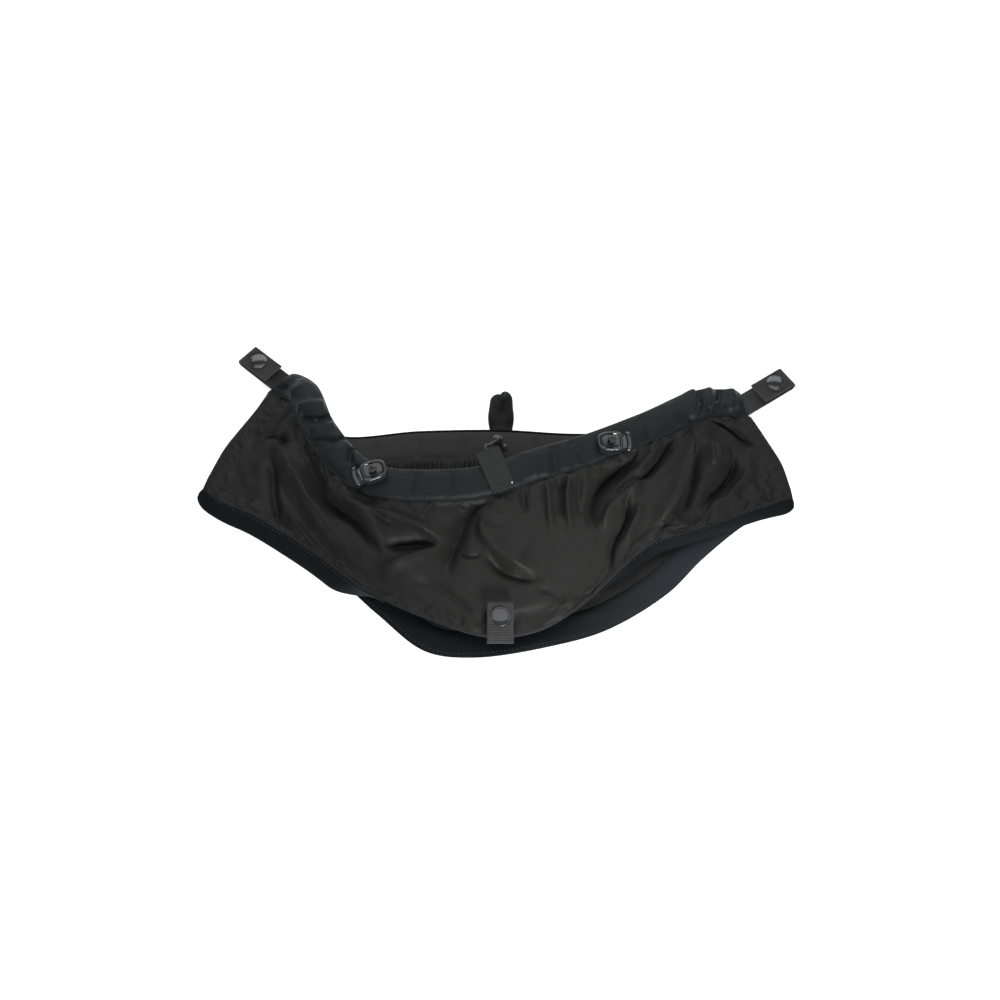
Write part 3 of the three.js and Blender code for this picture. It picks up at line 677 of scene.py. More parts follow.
# %% The panel's smooth surface
# The cloth's real lip sags a little past the model's at both corners.
LIP = Outline(
    [
        (-1.008, 0.125, 0.27), (-0.965, 0.045, 0.34), (-0.81, -0.1, 0.38), (-0.615, -0.345, 0.42),
        (-0.445, -0.59, 0.47), (-0.24, -0.78, 0.46), (-0.04, -0.895, 0.42), (0.12, -0.86, 0.42),
        (0.27, -0.69, 0.45), (0.4, -0.455, 0.47), (0.5, -0.29, 0.45), (0.7, -0.15, 0.4), (0.87, -0.02, 0.34),
        (0.99, 0.06, 0.26),
    ],
    SIZES, SHIFT,
)
PANEL_COLUMNS = 361
PANEL_ROWS = 113
TUCK = 1.6 * MM
PANEL_UNDER_BAND = 1.3 * MM
SIDE_BOW = 5 * MM


def front_panel_surface(s, t):
    corner = 1 - smooth(0, 0.03, s) + smooth(0.97, 1, s)
    top = over(front_band(s), (BAND_WIDTH - TUCK) * (1 - 0.22 * corner), -PANEL_UNDER_BAND)
    lip = LIP.at(s)
    fall = np.linalg.norm((lip - top)[..., :2], axis=-1)
    middle = smooth(0, 0.3, s) - smooth(0.7, 1, s)
    point = mix(top, lip, t[..., None])
    ends = (1 - smooth(0, 0.16, s)) - smooth(0.84, 1, s)
    point[..., 0] -= SIDE_BOW * ends * np.sin(np.pi * np.clip(t, 0, 1) ** 1.3)
    crown = LOFT * mix(0.05, 0.16, middle) * np.sin(np.pi * t**0.8)
    point[..., 2] += crown + middle * fall / DEPTH * 4 * MM * t * (1 - t) * t
    return point


# %% The panel's folds
PANEL_FOLDS = [
    # under the left arm: a deep valley, and the edge of cloth that overhangs it
    ([(0.14, 0.03), (0.155, 0.16), (0.18, 0.27), (0.215, 0.38), (0.25, 0.36), (0.285, 0.33), (0.302, 0.42),
      (0.316, 0.54), (0.33, 0.66)], -7, 6, 6),
    ([(0.215, 0.2), (0.245, 0.26), (0.28, 0.2), (0.299, 0.27), (0.313, 0.39), (0.329, 0.55)], 5.5, 11, 2.6),
    # the left side: two long ridges with a soft valley between them
    ([(0.08, 0.3), (0.111, 0.4), (0.151, 0.43), (0.181, 0.49), (0.216, 0.55), (0.25, 0.64), (0.285, 0.76)],
     4.5, 6, 6),
    ([(0.08, 0.42), (0.107, 0.62), (0.121, 0.76), (0.138, 0.86), (0.165, 0.92)], -4, 5, 5),
    ([(0.118, 0.58), (0.14, 0.75), (0.174, 0.86), (0.216, 0.93), (0.255, 0.96)], 2.8, 3.2, 3.6),
    ([(0.04, 0.37), (0.08, 0.31), (0.12, 0.3)], -3, 4, 4),
    # a wedge-shaped hollow that points to the right
    ([(0.295, 0.17), (0.336, 0.21), (0.376, 0.27), (0.42, 0.35)], 4.5, 9, 2.4),
    ([(0.32, 0.5), (0.35, 0.44), (0.385, 0.39), (0.415, 0.37)], -5, 6, 6),
    ([(0.32, 0.72), (0.35, 0.6), (0.379, 0.5), (0.415, 0.4)], 3, 3, 9),
    # below the pull tab: a soft valley, then the bulge and the cloth that it overhangs
    ([(0.49, 0.02), (0.455, 0.1), (0.444, 0.21), (0.438, 0.31), (0.432, 0.41), (0.427, 0.52), (0.424, 0.7)],
     -6, 7, 7),
    ([(0.474, 0.1), (0.471, 0.27), (0.479, 0.35), (0.492, 0.42), (0.511, 0.5), (0.533, 0.56), (0.565, 0.63)],
     5, 17, 2.6),
    ([(0.474, 0.43), (0.492, 0.5), (0.513, 0.58), (0.54, 0.64), (0.575, 0.7)], -3.5, 4, 6),
    ([(0.436, 0.43), (0.455, 0.46), (0.48, 0.45)], -2, 3, 3),
    # small pleats below the waistband's seam
    ([(0.535, 0.0), (0.537, 0.1), (0.54, 0.24)], -2, 3, 3),
    ([(0.583, 0.0), (0.583, 0.17), (0.587, 0.42)], 3, 3, 3),
    ([(0.607, 0.0), (0.608, 0.19), (0.604, 0.36)], -3.5, 2.6, 2.6),
    ([(0.625, 0.0), (0.619, 0.22), (0.62, 0.5)], 3, 3, 3),
    ([(0.645, 0.0), (0.641, 0.2), (0.64, 0.42)], -2.5, 3, 3),
    # right of the middle: the wide valley and the crisp edge beside it
    ([(0.76, 0.06), (0.72, 0.15), (0.691, 0.2), (0.669, 0.27), (0.659, 0.37), (0.661, 0.48), (0.67, 0.62)],
     -7.5, 4.5, 6),
    ([(0.765, 0.32), (0.75, 0.38), (0.723, 0.4), (0.694, 0.44), (0.681, 0.51), (0.682, 0.64)], 4.5, 7, 2.2),
    ([(0.745, 0.37), (0.727, 0.45), (0.727, 0.57), (0.722, 0.65), (0.706, 0.71), (0.696, 0.78), (0.691, 0.87),
      (0.686, 0.97)], -6, 2.6, 2.6),
    ([(0.755, 0.5), (0.745, 0.62), (0.728, 0.72), (0.714, 0.84)], 3, 5, 3),
    ([(0.825, 0.02), (0.809, 0.16), (0.792, 0.24), (0.77, 0.31), (0.742, 0.36)], -5, 3, 2.6),
    ([(0.8, 0.04), (0.785, 0.12), (0.765, 0.2), (0.738, 0.27)], 3, 4, 4),
    # the long lap on the right, where the panel folds over its own wing
    ([(0.858, 0.0), (0.856, 0.17), (0.845, 0.33), (0.833, 0.47), (0.822, 0.6), (0.81, 0.7), (0.796, 0.79),
      (0.78, 0.88), (0.757, 0.95)], 7, 2.2, 13),
    ([(0.872, 0.14), (0.863, 0.32), (0.852, 0.48), (0.842, 0.62), (0.828, 0.75), (0.812, 0.87)], -5.5, 6, 4),
    # the right wing
    ([(0.937, 0.3), (0.931, 0.48), (0.912, 0.61), (0.889, 0.69), (0.868, 0.77), (0.85, 0.86)], -6, 5, 5),
    ([(0.955, 0.5), (0.94, 0.63), (0.915, 0.74), (0.885, 0.84)], 3, 6, 4),
    ([(0.9, 0.2), (0.895, 0.35), (0.885, 0.5)], 3.5, 6, 6),
    ([(0.905, 0.02), (0.935, 0.08), (0.955, 0.13), (0.965, 0.24), (0.98, 0.4)], -5, 4, 4),
    # the lower middle, where the cloth rounds over to its lip
    ([(0.4, 0.86), (0.48, 0.84), (0.56, 0.82), (0.64, 0.86)], 2.5, 10, 10),
    ([(0.36, 0.75), (0.4, 0.72), (0.44, 0.78), (0.47, 0.9)], -2.5, 6, 6),
    ([(0.55, 0.72), (0.585, 0.8), (0.6, 0.92)], -2, 5, 5),
]


FOLD_BOLDNESS = 1.6
FOLD_ENDS = 0.34


def drawn_folds(surface, s, t, folds):
    """Heights of all folds, whose lines are in shares of a surface and whose sizes are in millimetres."""
    plan = surface(s, t)[..., :2].reshape(-1, 2)
    height = np.zeros(len(plan))
    for line, lift, left, right in folds:
        chalk = surface(*np.array(line).T)[:, :2]
        height += fold(plan, chalk, FOLD_BOLDNESS * lift * MM, left * MM, right * MM, FOLD_ENDS)
    return height.reshape(np.shape(s))


def along_normals(points, height):
    """Moves a grid of points along its own normals, the way that has +Z in it."""
    normal = unit(np.cross(np.gradient(points, axis=0), np.gradient(points, axis=1)))
    normal *= np.sign(normal[..., 2:] + 1e-9)
    return points + normal * height[..., None]


def held_edges(s, t, side=0.03, top=0.05, bottom=0.06):
    """0 at the panel's edges, where it is sewn, and 1 inside."""
    ends = smooth(0, side, s) * (1 - smooth(1 - side, 1, s))
    return ends * smooth(0, top, t) * (1 - smooth(1 - bottom, 1, t))


def shares(rows, columns):
    return np.meshgrid(np.linspace(0, 1, rows), np.linspace(0, 1, columns), indexing="ij")


s, t = shares(PANEL_COLUMNS, PANEL_ROWS)
flat_panel = front_panel_surface(s, t)
inside_panel = held_edges(s, t)
drawn = drawn_folds(front_panel_surface, s, t, PANEL_FOLDS) * inside_panel
across_plan, down_plan = s * hem_front.length, t * DEPTH
drawn += 0.5 * MM * ripple(across_plan, down_plan, 10 * MM, 5) * inside_panel
ridges = 1 - 2 * np.abs(ripple(across_plan + down_plan * 0.6, down_plan * 0.45, 26 * MM, 6))
drawn += 1.1 * MM * ridges * inside_panel
panel_points = along_normals(flat_panel, drawn)
print("folds lift", (drawn.min() / MM).round(1), "to", (drawn.max() / MM).round(1), "mm")


# %% [markdown]
# Blender's cloth keeps each point near its place by a pin weight: 1 on the sewn edges, and a little inside,
# so that the drawn folds stay. The rest size is a few per cent larger than the drawn cloth, so it has to
# buckle.

# %% Cloth simulation on a grid
SPARE_CLOTH = 0.035
CLOTH_FRAMES = 14
LONGEST_MOVE = 3.5 * MM
CLOTH_SETTINGS = {
    "quality": 5, "mass": 0.02, "tension_stiffness": 20, "compression_stiffness": 20, "shear_stiffness": 8,
    "bending_stiffness": 0.15, "vertex_group_mass": "held", "pin_stiffness": 1.0, "shrink_min": -SPARE_CLOTH,
}


def buckled(points, hold, cap, lay_down=0.3):
    """The moves that cloth simulation gives a grid of points, none longer than cap."""
    obj = piece("cloth_trial", points, grid_faces(*points.shape[:2]))
    group = obj.vertex_groups.new(name="held")
    for index, weight in enumerate(hold.ravel()):
        group.add([index], float(weight), "REPLACE")
    cloth = obj.modifiers.new("cloth", "CLOTH")
    for key, value in CLOTH_SETTINGS.items():
        setattr(cloth.settings, key, value)
    cloth.settings.effector_weights.gravity = lay_down
    cloth.collision_settings.use_collision = False
    cloth.point_cache.frame_start = 1
    cloth.point_cache.frame_end = CLOTH_FRAMES
    scene = bpy.context.scene
    for number in range(1, CLOTH_FRAMES + 1):
        scene.frame_set(number)
    graph = bpy.context.evaluated_depsgraph_get()
    after = np.zeros(points.size, np.float32)
    obj.evaluated_get(graph).data.vertices.foreach_get("co", after)
    bpy.data.objects.remove(obj)
    scene.frame_set(1)
    move = after.reshape(points.shape) - points
    size = np.linalg.norm(move, axis=-1, keepdims=True)
    return move * np.minimum(1, cap / np.maximum(size, 1e-9))


def between(coarse):
    """A grid at twice the resolution, with the middle points averaged."""
    rows = np.empty((2 * coarse.shape[0] - 1, *coarse.shape[1:]))
    rows[::2], rows[1::2] = coarse, (coarse[1:] + coarse[:-1]) / 2
    full = np.empty((rows.shape[0], 2 * rows.shape[1] - 1, *rows.shape[2:]))
    full[:, ::2], full[:, 1::2] = rows, (rows[:, 1:] + rows[:, :-1]) / 2
    return full


loose = held_edges(s, t, side=0.02, top=0.03, bottom=0.04)
hold = np.clip(1 - loose[::2, ::2] * 0.93, 0, 1)
moves = buckled(panel_points[::2, ::2], hold, cap=LONGEST_MOVE)
panel_points = panel_points + between(moves) * loose[..., None]
print("cloth moved up to", round(float(np.abs(moves).max() / MM), 2), "mm")

# %% The front panel's mesh
PANEL_THICKNESS = 0.7 * MM


def cloth_sheet(name, points, size, thickness=PANEL_THICKNESS):
    """A grid of points as cloth of this thickness, whose weave covers size = (length, width)."""
    u, v = shares(*points.shape[:2])
    lay = np.stack([u * size[0], v * size[1]], -1)
    obj = piece(name, points, grid_faces(*points.shape[:2]), lay)
    return outward(finished(obj, "SOLIDIFY", thickness=thickness, offset=0))


PANEL_FLAT = (hem_front.length, 103 * MM)
front_panel = cloth_sheet("front_panel_cloth", panel_points, PANEL_FLAT)
fitted(front_panel, "root", NYLON, "panel_nylon", "front_panel")
print("front panel", len(front_panel.data.polygons), "faces")


def cloth_area(obj):
    """Half of a thin closed sheet's surface."""
    return sum(face.area for face in obj.data.polygons) / 2


print("front panel cloth", round(cloth_area(front_panel), 4), "square metres")

# %% [markdown]
# ## The waistbands
#
# Each waistband is a casing: cloth folded over at the free edge and stitched to the panel, with a cord or an
# elastic in its tunnel. So it is a real tube of cloth here, with a wall. Its section is a pillow that pinches
# at the stitch line. Where the cord gathers it, at both arms, it puffs up and creases across.

# %% Tubes of cloth
CASING_WALL = 0.5 * MM


def pillow(x):
    """The half height of a soft flat tube across its width, 0 at both edges and 1 in the middle."""
    return np.clip(1 - np.abs(2 * np.clip(x, 0, 1) - 1) ** 2.4, 0, 1) ** 0.55


def cloth_tube(name, surface, length, width, stations, around=36):
    """A flat tube of cloth. surface(s, u, side) has u from 0 to 1 across, and side 1 above and -1 below."""
    turn = np.linspace(0, 2 * np.pi, around, endpoint=False)
    u = (1 - np.cos(turn)) / 2
    above = np.where(np.sin(turn) > -1e-9, 1.0, -1.0)
    s, u = np.meshgrid(np.linspace(0, 1, stations), u, indexing="ij")
    across = np.where(above > 0, u, 2 - u) * width
    lay = np.stack([s * length, across], -1)
    obj = piece(name, surface(s, u, above + 0 * s), grid_faces(stations, around, ring=True), lay)
    outward(obj)
    return finished(obj, "SOLIDIFY", thickness=CASING_WALL, offset=-1)


def round_end(s, share, least):
    """1 inside, and down to least over this share of the length at both ends, as a rounded corner."""
    inside = np.clip(np.minimum(s, 1 - s) / share, 0, 1)
    return least + (1 - least) * np.sqrt(1 - (1 - inside) ** 2)


# %% The front waistband
SEAM_AT = 24.6 * MM
BAND_CREASES = [
    # (share of the length, millimetres across), lift and widths in millimetres
    ([(0.004, 23), (0.014, 20.5), (0.026, 17)], -2.2, 1.8, 1.8),
    ([(0.05, 4), (0.055, 14), (0.05, 24)], 1.6, 9, 9),
    ([(0.112, 25), (0.12, 13), (0.126, 1)], 2.6, 8, 6),
    ([(0.132, 24), (0.141, 18), (0.15, 10), (0.157, 0)], -5.5, 3.5, 2.4),
    ([(0.168, 24), (0.172, 12), (0.176, 1)], 1.8, 5, 5),
    ([(0.176, 25), (0.19, 17), (0.207, 9), (0.212, 0)], -2.8, 2.4, 2),
    ([(0.228, 24), (0.228, 12), (0.225, 1)], 1.8, 8, 8),
    ([(0.24, 0), (0.245, 5), (0.262, 12)], -2.4, 2, 2),
    ([(0.288, 26), (0.274, 17), (0.27, 9)], -2, 2.5, 2.5),
    ([(0.355, 22), (0.36, 12), (0.365, 2)], -1, 4, 4),
    ([(0.425, 1), (0.423, 12), (0.42, 22)], -1, 5, 5),
    ([(0.56, 24), (0.563, 12), (0.57, 2)], 0.9, 7, 7),
    ([(0.602, 25), (0.606, 14), (0.612, 2)], -1.4, 4, 4),
    ([(0.655, 25), (0.65, 14), (0.645, 2)], -1.1, 4, 4),
    ([(0.78, 3), (0.785, 12), (0.775, 24)], -0.9, 5, 5),
    ([(0.84, 2), (0.835, 12), (0.825, 24)], 1.0, 8, 8),
    ([(0.903, 0), (0.896, 9), (0.882, 18), (0.868, 27)], 2.8, 9, 1.6),
    ([(0.914, 0), (0.906, 9), (0.893, 18), (0.88, 27)], -4.2, 2, 3),
    ([(0.936, 0), (0.93, 10), (0.915, 22)], 2.2, 4, 4),
    ([(0.958, 0), (0.95, 9), (0.937, 18), (0.925, 27)], -5.2, 2.6, 3.2),
    ([(0.98, 1), (0.978, 12), (0.97, 24)], 2.8, 6, 6),
    ([(0.972, 24), (0.983, 23.2), (0.996, 22.8)], -2, 1.5, 1.5),
]


CREASE_BOLDNESS = 1.3
CREASE_ENDS = 0.08


def tube_creases(s, across, length, creases):
    """Heights of creases on a strip, laid out flat along its length."""
    place = np.stack([s * length, across], -1).reshape(-1, 2)
    height = np.zeros(len(place))
    for line, lift, left, right in creases:
        chalk = np.array([(share * length, a * MM) for share, a in line])
        height += fold(place, chalk, CREASE_BOLDNESS * lift * MM, left * MM, right * MM, CREASE_ENDS)
    return height.reshape(s.shape)


def front_band_surface(s, u, above):
    ends = round_end(s, 0.022, 0.72)
    across = BAND_WIDTH * (0.5 + (u - 0.5) * ends)
    tunnel = pillow(u * BAND_WIDTH / (SEAM_AT + 0.4 * MM))
    flange = 0.8 * MM * pillow(u)
    arms = 1 - smooth(0.22, 0.3, s) + smooth(0.84, 0.9, s)
    inside = smooth(0, 0.05, s) * (1 - smooth(0.95, 1, s))
    half = flange + (2.7 + 1.1 * arms * inside) * MM * tunnel
    length = waist_front.length
    creased = tube_creases(s, u * BAND_WIDTH, length, BAND_CREASES)
    puckers = ripple(s * length, u * BAND_WIDTH, 6 * MM, 3) * 0.35 * MM * (0.5 + arms)
    pucker_seam = ripple(s * length, 0 * s, 4.5 * MM, 4) * 0.5 * MM * smooth(0.6, 0.9, u)
    soft = (creased + puckers + pucker_seam) * pillow(u) ** 0.6
    half = half * round_end(s, 0.012, 0.25) + np.where(above > 0, soft, 0.25 * soft)
    out = -0.45 * creased * (1 - u) ** 3
    return over(front_band(s), across + out, above * np.maximum(half, 0.35 * MM))


waistband = cloth_tube("waistband_front_casing", front_band_surface, waist_front.length, BAND_WIDTH, 361, 44)
fitted(waistband, "root", BAND, "band_fabric", "waistband_front")
print("front waistband", len(waistband.data.polygons), "faces")

# %% [markdown]
# The back waistband lies flat with its paler lining up, because its elastic is wide and thin. A thin dark
# roll runs along its free edge.

# %% The back waistband
BACK_CREASES = [
    ([(0.06, 2), (0.07, 13), (0.08, 25)], -1, 4, 4),
    ([(0.15, 3), (0.15, 14), (0.16, 25)], 0.6, 6, 6),
    ([(0.24, 24), (0.245, 15), (0.25, 6)], -0.8, 3, 3),
    ([(0.33, 25), (0.335, 15), (0.33, 4)], -0.6, 4, 4),
    ([(0.43, 24), (0.425, 16), (0.43, 8)], -0.8, 3, 3),
    ([(0.57, 24), (0.575, 16), (0.57, 5)], -0.8, 3, 3),
    ([(0.66, 25), (0.66, 14), (0.67, 3)], -0.7, 4, 4),
    ([(0.78, 25), (0.77, 14), (0.78, 3)], 0.6, 6, 6),
    ([(0.9, 25), (0.89, 14), (0.9, 3)], -0.8, 4, 4),
]


def back_band_surface(s, u, above):
    ends = round_end(s, 0.05, 0.45)
    across = BAND_WIDTH * (0.5 + (u - 0.5) * ends)
    tunnel = pillow(u * BAND_WIDTH / SEAM_AT)
    creased = tube_creases(s, u * BAND_WIDTH, waist_back.length, BACK_CREASES)
    puckers = ripple(s * waist_back.length, 0 * s, 5 * MM, 8) * 0.35 * MM * smooth(0.5, 0.9, u)
    half = (0.5 * pillow(u) + 1.4 * tunnel) * MM
    half = half + np.where(above > 0, creased + puckers, 0) * pillow(u)
    return over(back_band(s), across, above * np.maximum(half, 0.3 * MM))


back_waistband = cloth_tube(
    "waistband_back_casing", back_band_surface, waist_back.length, BAND_WIDTH, 241, 32
)
fitted(back_waistband, "root", LINING, "band_fabric", "waistband_back")
dress(frame["nodes"]["waist_elastic"], ELASTIC)


# %% [markdown]
# Round things that follow a path, such as the dark roll on the back waistband, the cords and the stitches,
# all
# come from one sweep: a ring of points is carried along a curve without twisting.

# %% Sweeps along a path
def carried_frames(curve, shares_along):
    """Points and two cross directions along a curve, turning as little as they can."""
    points = curve.at(shares_along)
    ways = curve.along(shares_along, reach=0.004)
    side = np.cross(ways[0], UP if abs(ways[0][2]) < 0.9 else (1.0, 0, 0))
    sides = []
    for way in ways:
        side = unit(side - way * side.dot(way))
        sides.append(side)
    sides = np.array(sides)
    return points, sides, np.cross(ways, sides)


def swept(name, points, radius, stations, around=12, closed=False):
    """A round tube along points. radius is one number or one for each station."""
    curve = Outline(points)
    share = np.linspace(0, 1, stations)
    middle, side, up = carried_frames(curve, share)
    turn = np.linspace(0, 2 * np.pi, around, endpoint=False)[:, None]
    size = np.broadcast_to(np.asarray(radius, float), (stations,))[:, None, None]
    rings = middle[:, None] + size * (side[:, None] * np.cos(turn) + up[:, None] * np.sin(turn))
    mean = float(np.mean(radius))
    lay = np.stack(np.meshgrid(share * curve.length, turn[:, 0] * mean, indexing="ij"), -1)
    if closed:
        faces = grid_faces(stations, around, ring=True)
        return outward(piece(name, rings, faces, lay))
    return body_of_rings(name, rings, lay)


# A thin dark roll along the free edge of the back waistband.
s = np.linspace(0.012, 0.988, 60)
edge_roll = swept("waistband_back_edge_roll", over(back_band(s), 0.1 * MM, 0.5 * MM), 0.9 * MM, 240, 10)
fitted(edge_roll, "root", HEM, "band_fabric")

# %% [markdown]
# ## The hems
#
# The hem is the same kind of casing, flatter and narrower. The front one leans out to the bench at both sides
# and rolls under in the middle; its ends are rounded corners. The back one lies on the bench.

# %% Hem casings
HEM_WIDTH = 22 * MM
HEM_LEFT_WIDTH = 14 * MM
HEM_RIGHT_WIDTH = 9.5 * MM
HEM_END_WIDTH = 11 * MM
HEM_TWIST_WIDTH = 9 * MM
HEM_THICKNESS = 2 * MM


def rolled(s):
    return smooth(0.25, 0.38, s) - smooth(0.6, 0.74, s)


def front_hem_strip(s):
    turn = rolled(s)
    ends = smooth(0, 0.07, s) * (1 - smooth(0.93, 1, s))
    full = mix(HEM_END_WIDTH, mix(HEM_LEFT_WIDTH, HEM_RIGHT_WIDTH, smooth(0.4, 0.7, s)), ends)
    width = mix(full, HEM_TWIST_WIDTH, 4 * turn * (1 - turn))
    lift = LIP.at(s)[..., 2] - BACK_BAND_THICKNESS - HEM_THICKNESS / 2
    drop = np.arcsin(np.minimum(0.7 * lift / width, 0.7))
    return strip(LIP, s, mix(drop, math.pi - math.radians(9), turn)), width


def hem_height(s, u, length, seed):
    """Half the hem's thickness: a flat casing with a stitch line near its inner edge, and small puckers."""
    stitched = 1 - 0.55 * np.exp(-(((u - 0.12) / 0.05) ** 2))
    puckers = ripple(s * length, 0 * s, 5 * MM, seed) * smooth(0.9, 0.2, u)
    waves = ripple(s * length, u * 20 * MM, 16 * MM, seed + 1)
    return pillow(u) * ((0.55 + 0.75 * stitched) * MM + (0.22 * puckers + 0.3 * waves) * MM)


def front_hem_surface(s, u, above):
    (point, along, across, face), width = front_hem_strip(s)
    start = mix(-2.0, 0.5, rolled(s)) * MM
    ends = round_end(s, 0.025, 0.35)
    a = start + (width * ends - start) * u
    wave = ripple(s * hem_front.length, 0 * s, 21 * MM, 12) * 0.7 * MM * u
    half = np.maximum(hem_height(s, u, hem_front.length, 20) * (0.3 + 0.7 * ends), 0.25 * MM)
    place = over((point, along, across, face), a, above * half + wave)
    place = place - UP * (0.9 * MM + 1.1 * MM * rolled(s))[..., None]
    bench = (0.7 + 0.5 * (above + 1)) * MM
    place[..., 2] = np.maximum(place[..., 2], bench)
    return place


front_hem = cloth_tube("front_hem_casing", front_hem_surface, hem_front.length, HEM_WIDTH, 321, 28)
fitted(front_hem, "root", HEM, "hem_fabric", "front_hem")


def back_hem_strip(s):
    point, along, across, face = strip(hem_back, s, 0, -1)
    return point + UP * 1.25 * MM, along, across, face


def back_hem_surface(s, u, above):
    ends = round_end(s, 0.02, 0.3)
    a = HEM_WIDTH * (0.5 + (0.5 - u) * ends)
    half = np.maximum(hem_height(s, u, hem_back.length, 30), 0.25 * MM)
    lift = 0.5 * MM * (1 + ripple(s * hem_back.length, u * HEM_WIDTH, 24 * MM, 33)) * pillow(u)
    return over(back_hem_strip(s), a, above * np.minimum(half, 1.1 * MM) + np.where(above > 0, lift, 0))


back_hem = cloth_tube("back_hem_casing", back_hem_surface, hem_back.length, HEM_WIDTH, 321, 28)
fitted(back_hem, "root", LIT_BACK_HEM, "hem_fabric", "back_hem")
print("hems", len(front_hem.data.polygons), len(back_hem.data.polygons), "faces")

# %% [markdown]
# ## The back panel and the side tapes
#
# The back panel lies on the bench inside the tunnel. It shows below the back waistband, where the elastic
# gathers it into small pleats, and in the mouth of the hem, where it is creased. The side tapes close the
# tunnel at both sides.

# %% The back panel
BACK_FOLDS = [
    ([(0.62, 0.45), (0.66, 0.6), (0.69, 0.75), (0.7, 0.92)], 3, 7, 2),
    ([(0.5, 0.8), (0.58, 0.84), (0.66, 0.9), (0.7, 0.93)], 2.2, 6, 3),
    ([(0.74, 0.4), (0.78, 0.6), (0.8, 0.85)], 2.4, 8, 5),
    ([(0.4, 0.5), (0.42, 0.7), (0.4, 0.9)], 2, 9, 7),
    ([(0.25, 0.4), (0.22, 0.6), (0.24, 0.85)], 2, 9, 7),
    ([(0.1, 0.3), (0.16, 0.5), (0.18, 0.8)], 1.6, 8, 6),
    ([(0.86, 0.3), (0.88, 0.5), (0.87, 0.8)], 1.6, 8, 6),
]


def back_panel_surface(s, t):
    corner = 1 - smooth(0, 0.05, s) + smooth(0.95, 1, s)
    top = over(back_band(s), (BAND_WIDTH - TUCK) * (1 - 0.3 * corner), -0.4 * MM)
    foot = over(back_hem_strip(s), HEM_WIDTH - TUCK, -0.2 * MM)
    return mix(top, foot, t[..., None])


BACK_PANEL_FLAT = (hem_back.length, 125 * MM)
BACK_PANEL_THICKNESS = 0.6 * MM
GATHER_PITCH = 7.5 * MM
s, t = shares(321, 81)
gathers = np.sin(2 * np.pi * s * waist_back.length / GATHER_PITCH + 2.5 * ripple(s * 0.4, 0 * s, 0.03, 40))
gathers = (1 + gathers) * (1 + ripple(s, 0 * s, 0.05, 43)) * 1.1 * MM
gathers *= smooth(0, 0.03, t) * (1 - smooth(0.06, 0.35 + 0.15 * ripple(s, 0 * s, 0.03, 44), t))
wrinkled = np.maximum(drawn_folds(back_panel_surface, s, t, BACK_FOLDS), 0)
wrinkled += (1 + ripple(s * 0.4, t * 0.13, 14 * MM, 41)) * 0.5 * MM
back_height = (gathers + wrinkled) * held_edges(s, t, side=0.02, top=0.02, bottom=0.05)
back_points = along_normals(back_panel_surface(s, t), back_height)
back_panel = cloth_sheet("back_panel_cloth", back_points, BACK_PANEL_FLAT, BACK_PANEL_THICKNESS)
fitted(back_panel, "root", NYLON, "panel_nylon", "back_panel")
print("back panel cloth", round(cloth_area(back_panel), 4), "square metres")

# %% The side tapes
SIDE_INSET = GAP + CLOTH
TAPE_FLAT = (100 * MM, 12 * MM)
TAPE_START = 0.08


def side_tape(side, share, out):
    u, t = shares(61, 15)
    v = mix(TAPE_START, 1.0, u)
    low = back_panel_surface(share + 0 * v, v)
    high = front_panel_surface(share + 0 * v, v)
    edge = unit((low[-1, 0] - low[0, 0]) * (1, 1, 0))
    outward_way = out * np.array([-edge[1], edge[0], 0])
    level = mix(low[..., 2], high[..., 2], t)
    point = mix(low, high, (t * t)[..., None])
    point[..., 2] = level
    bulge = SIDE_INSET * (0.25 + 0.75 * np.sin(np.pi * t) ** 0.7)
    bulge = bulge + 0.4 * MM * ripple(u * 0.1, t * 0.01, 9 * MM, 50)
    tape = cloth_sheet(side + "_side_tape_cloth", point + outward_way * bulge[..., None], TAPE_FLAT)
    return fitted(tape, "root", NYLON, "hem_fabric", side + "_side_tape")


side_tape("left", 0.0, -1)
side_tape("right", 1.0, 1)

# %% [markdown]
# ## Small parts in their own frames
#
# A snap tab or a lock is easiest to draw in its own frame, with x forward, y across and z up, in millimetres.
# A Place then puts it on the skirt. Turned parts come from one half profile, and ribbons from a centre line.

# %% Places, turned parts and ribbons
class Place:
    """A right-handed frame on the skirt, read in millimetres."""

    def __init__(self, origin, forward, up):
        self.origin = np.asarray(origin, float)
        x = unit(np.asarray(forward, float))
        up = np.asarray(up, float)
        z = unit(up - x * x.dot(up))
        self.axes = np.array([x, np.cross(z, x), z])

    def at(self, points):
        return self.origin + np.asarray(points, float) @ self.axes * MM


def eased(corners, radius, steps=3):
    """A polyline whose inner corners are rounded."""
    points = [corners[0]]
    for before, corner, after in zip(corners, corners[1:], corners[2:]):
        a, p, b = (np.asarray(x, float) for x in (before, corner, after))
        reach_a = min(radius, np.linalg.norm(a - p) / 2)
        reach_b = min(radius, np.linalg.norm(b - p) / 2)
        start = p + unit(a - p) * reach_a
        end = p + unit(b - p) * reach_b
        for t in np.linspace(0, 1, steps + 1):
            points.append(tuple((1 - t) ** 2 * start + 2 * t * (1 - t) * p + t * t * end))
    points.append(corners[-1])
    return np.array([tuple(point) for point in points], float)


def welded(obj):
    work = bmesh.new()
    work.from_mesh(obj.data)
    bmesh.ops.remove_doubles(work, verts=work.verts, dist=0.002 * MM)
    work.to_mesh(obj.data)
    work.free()
    return outward(obj)


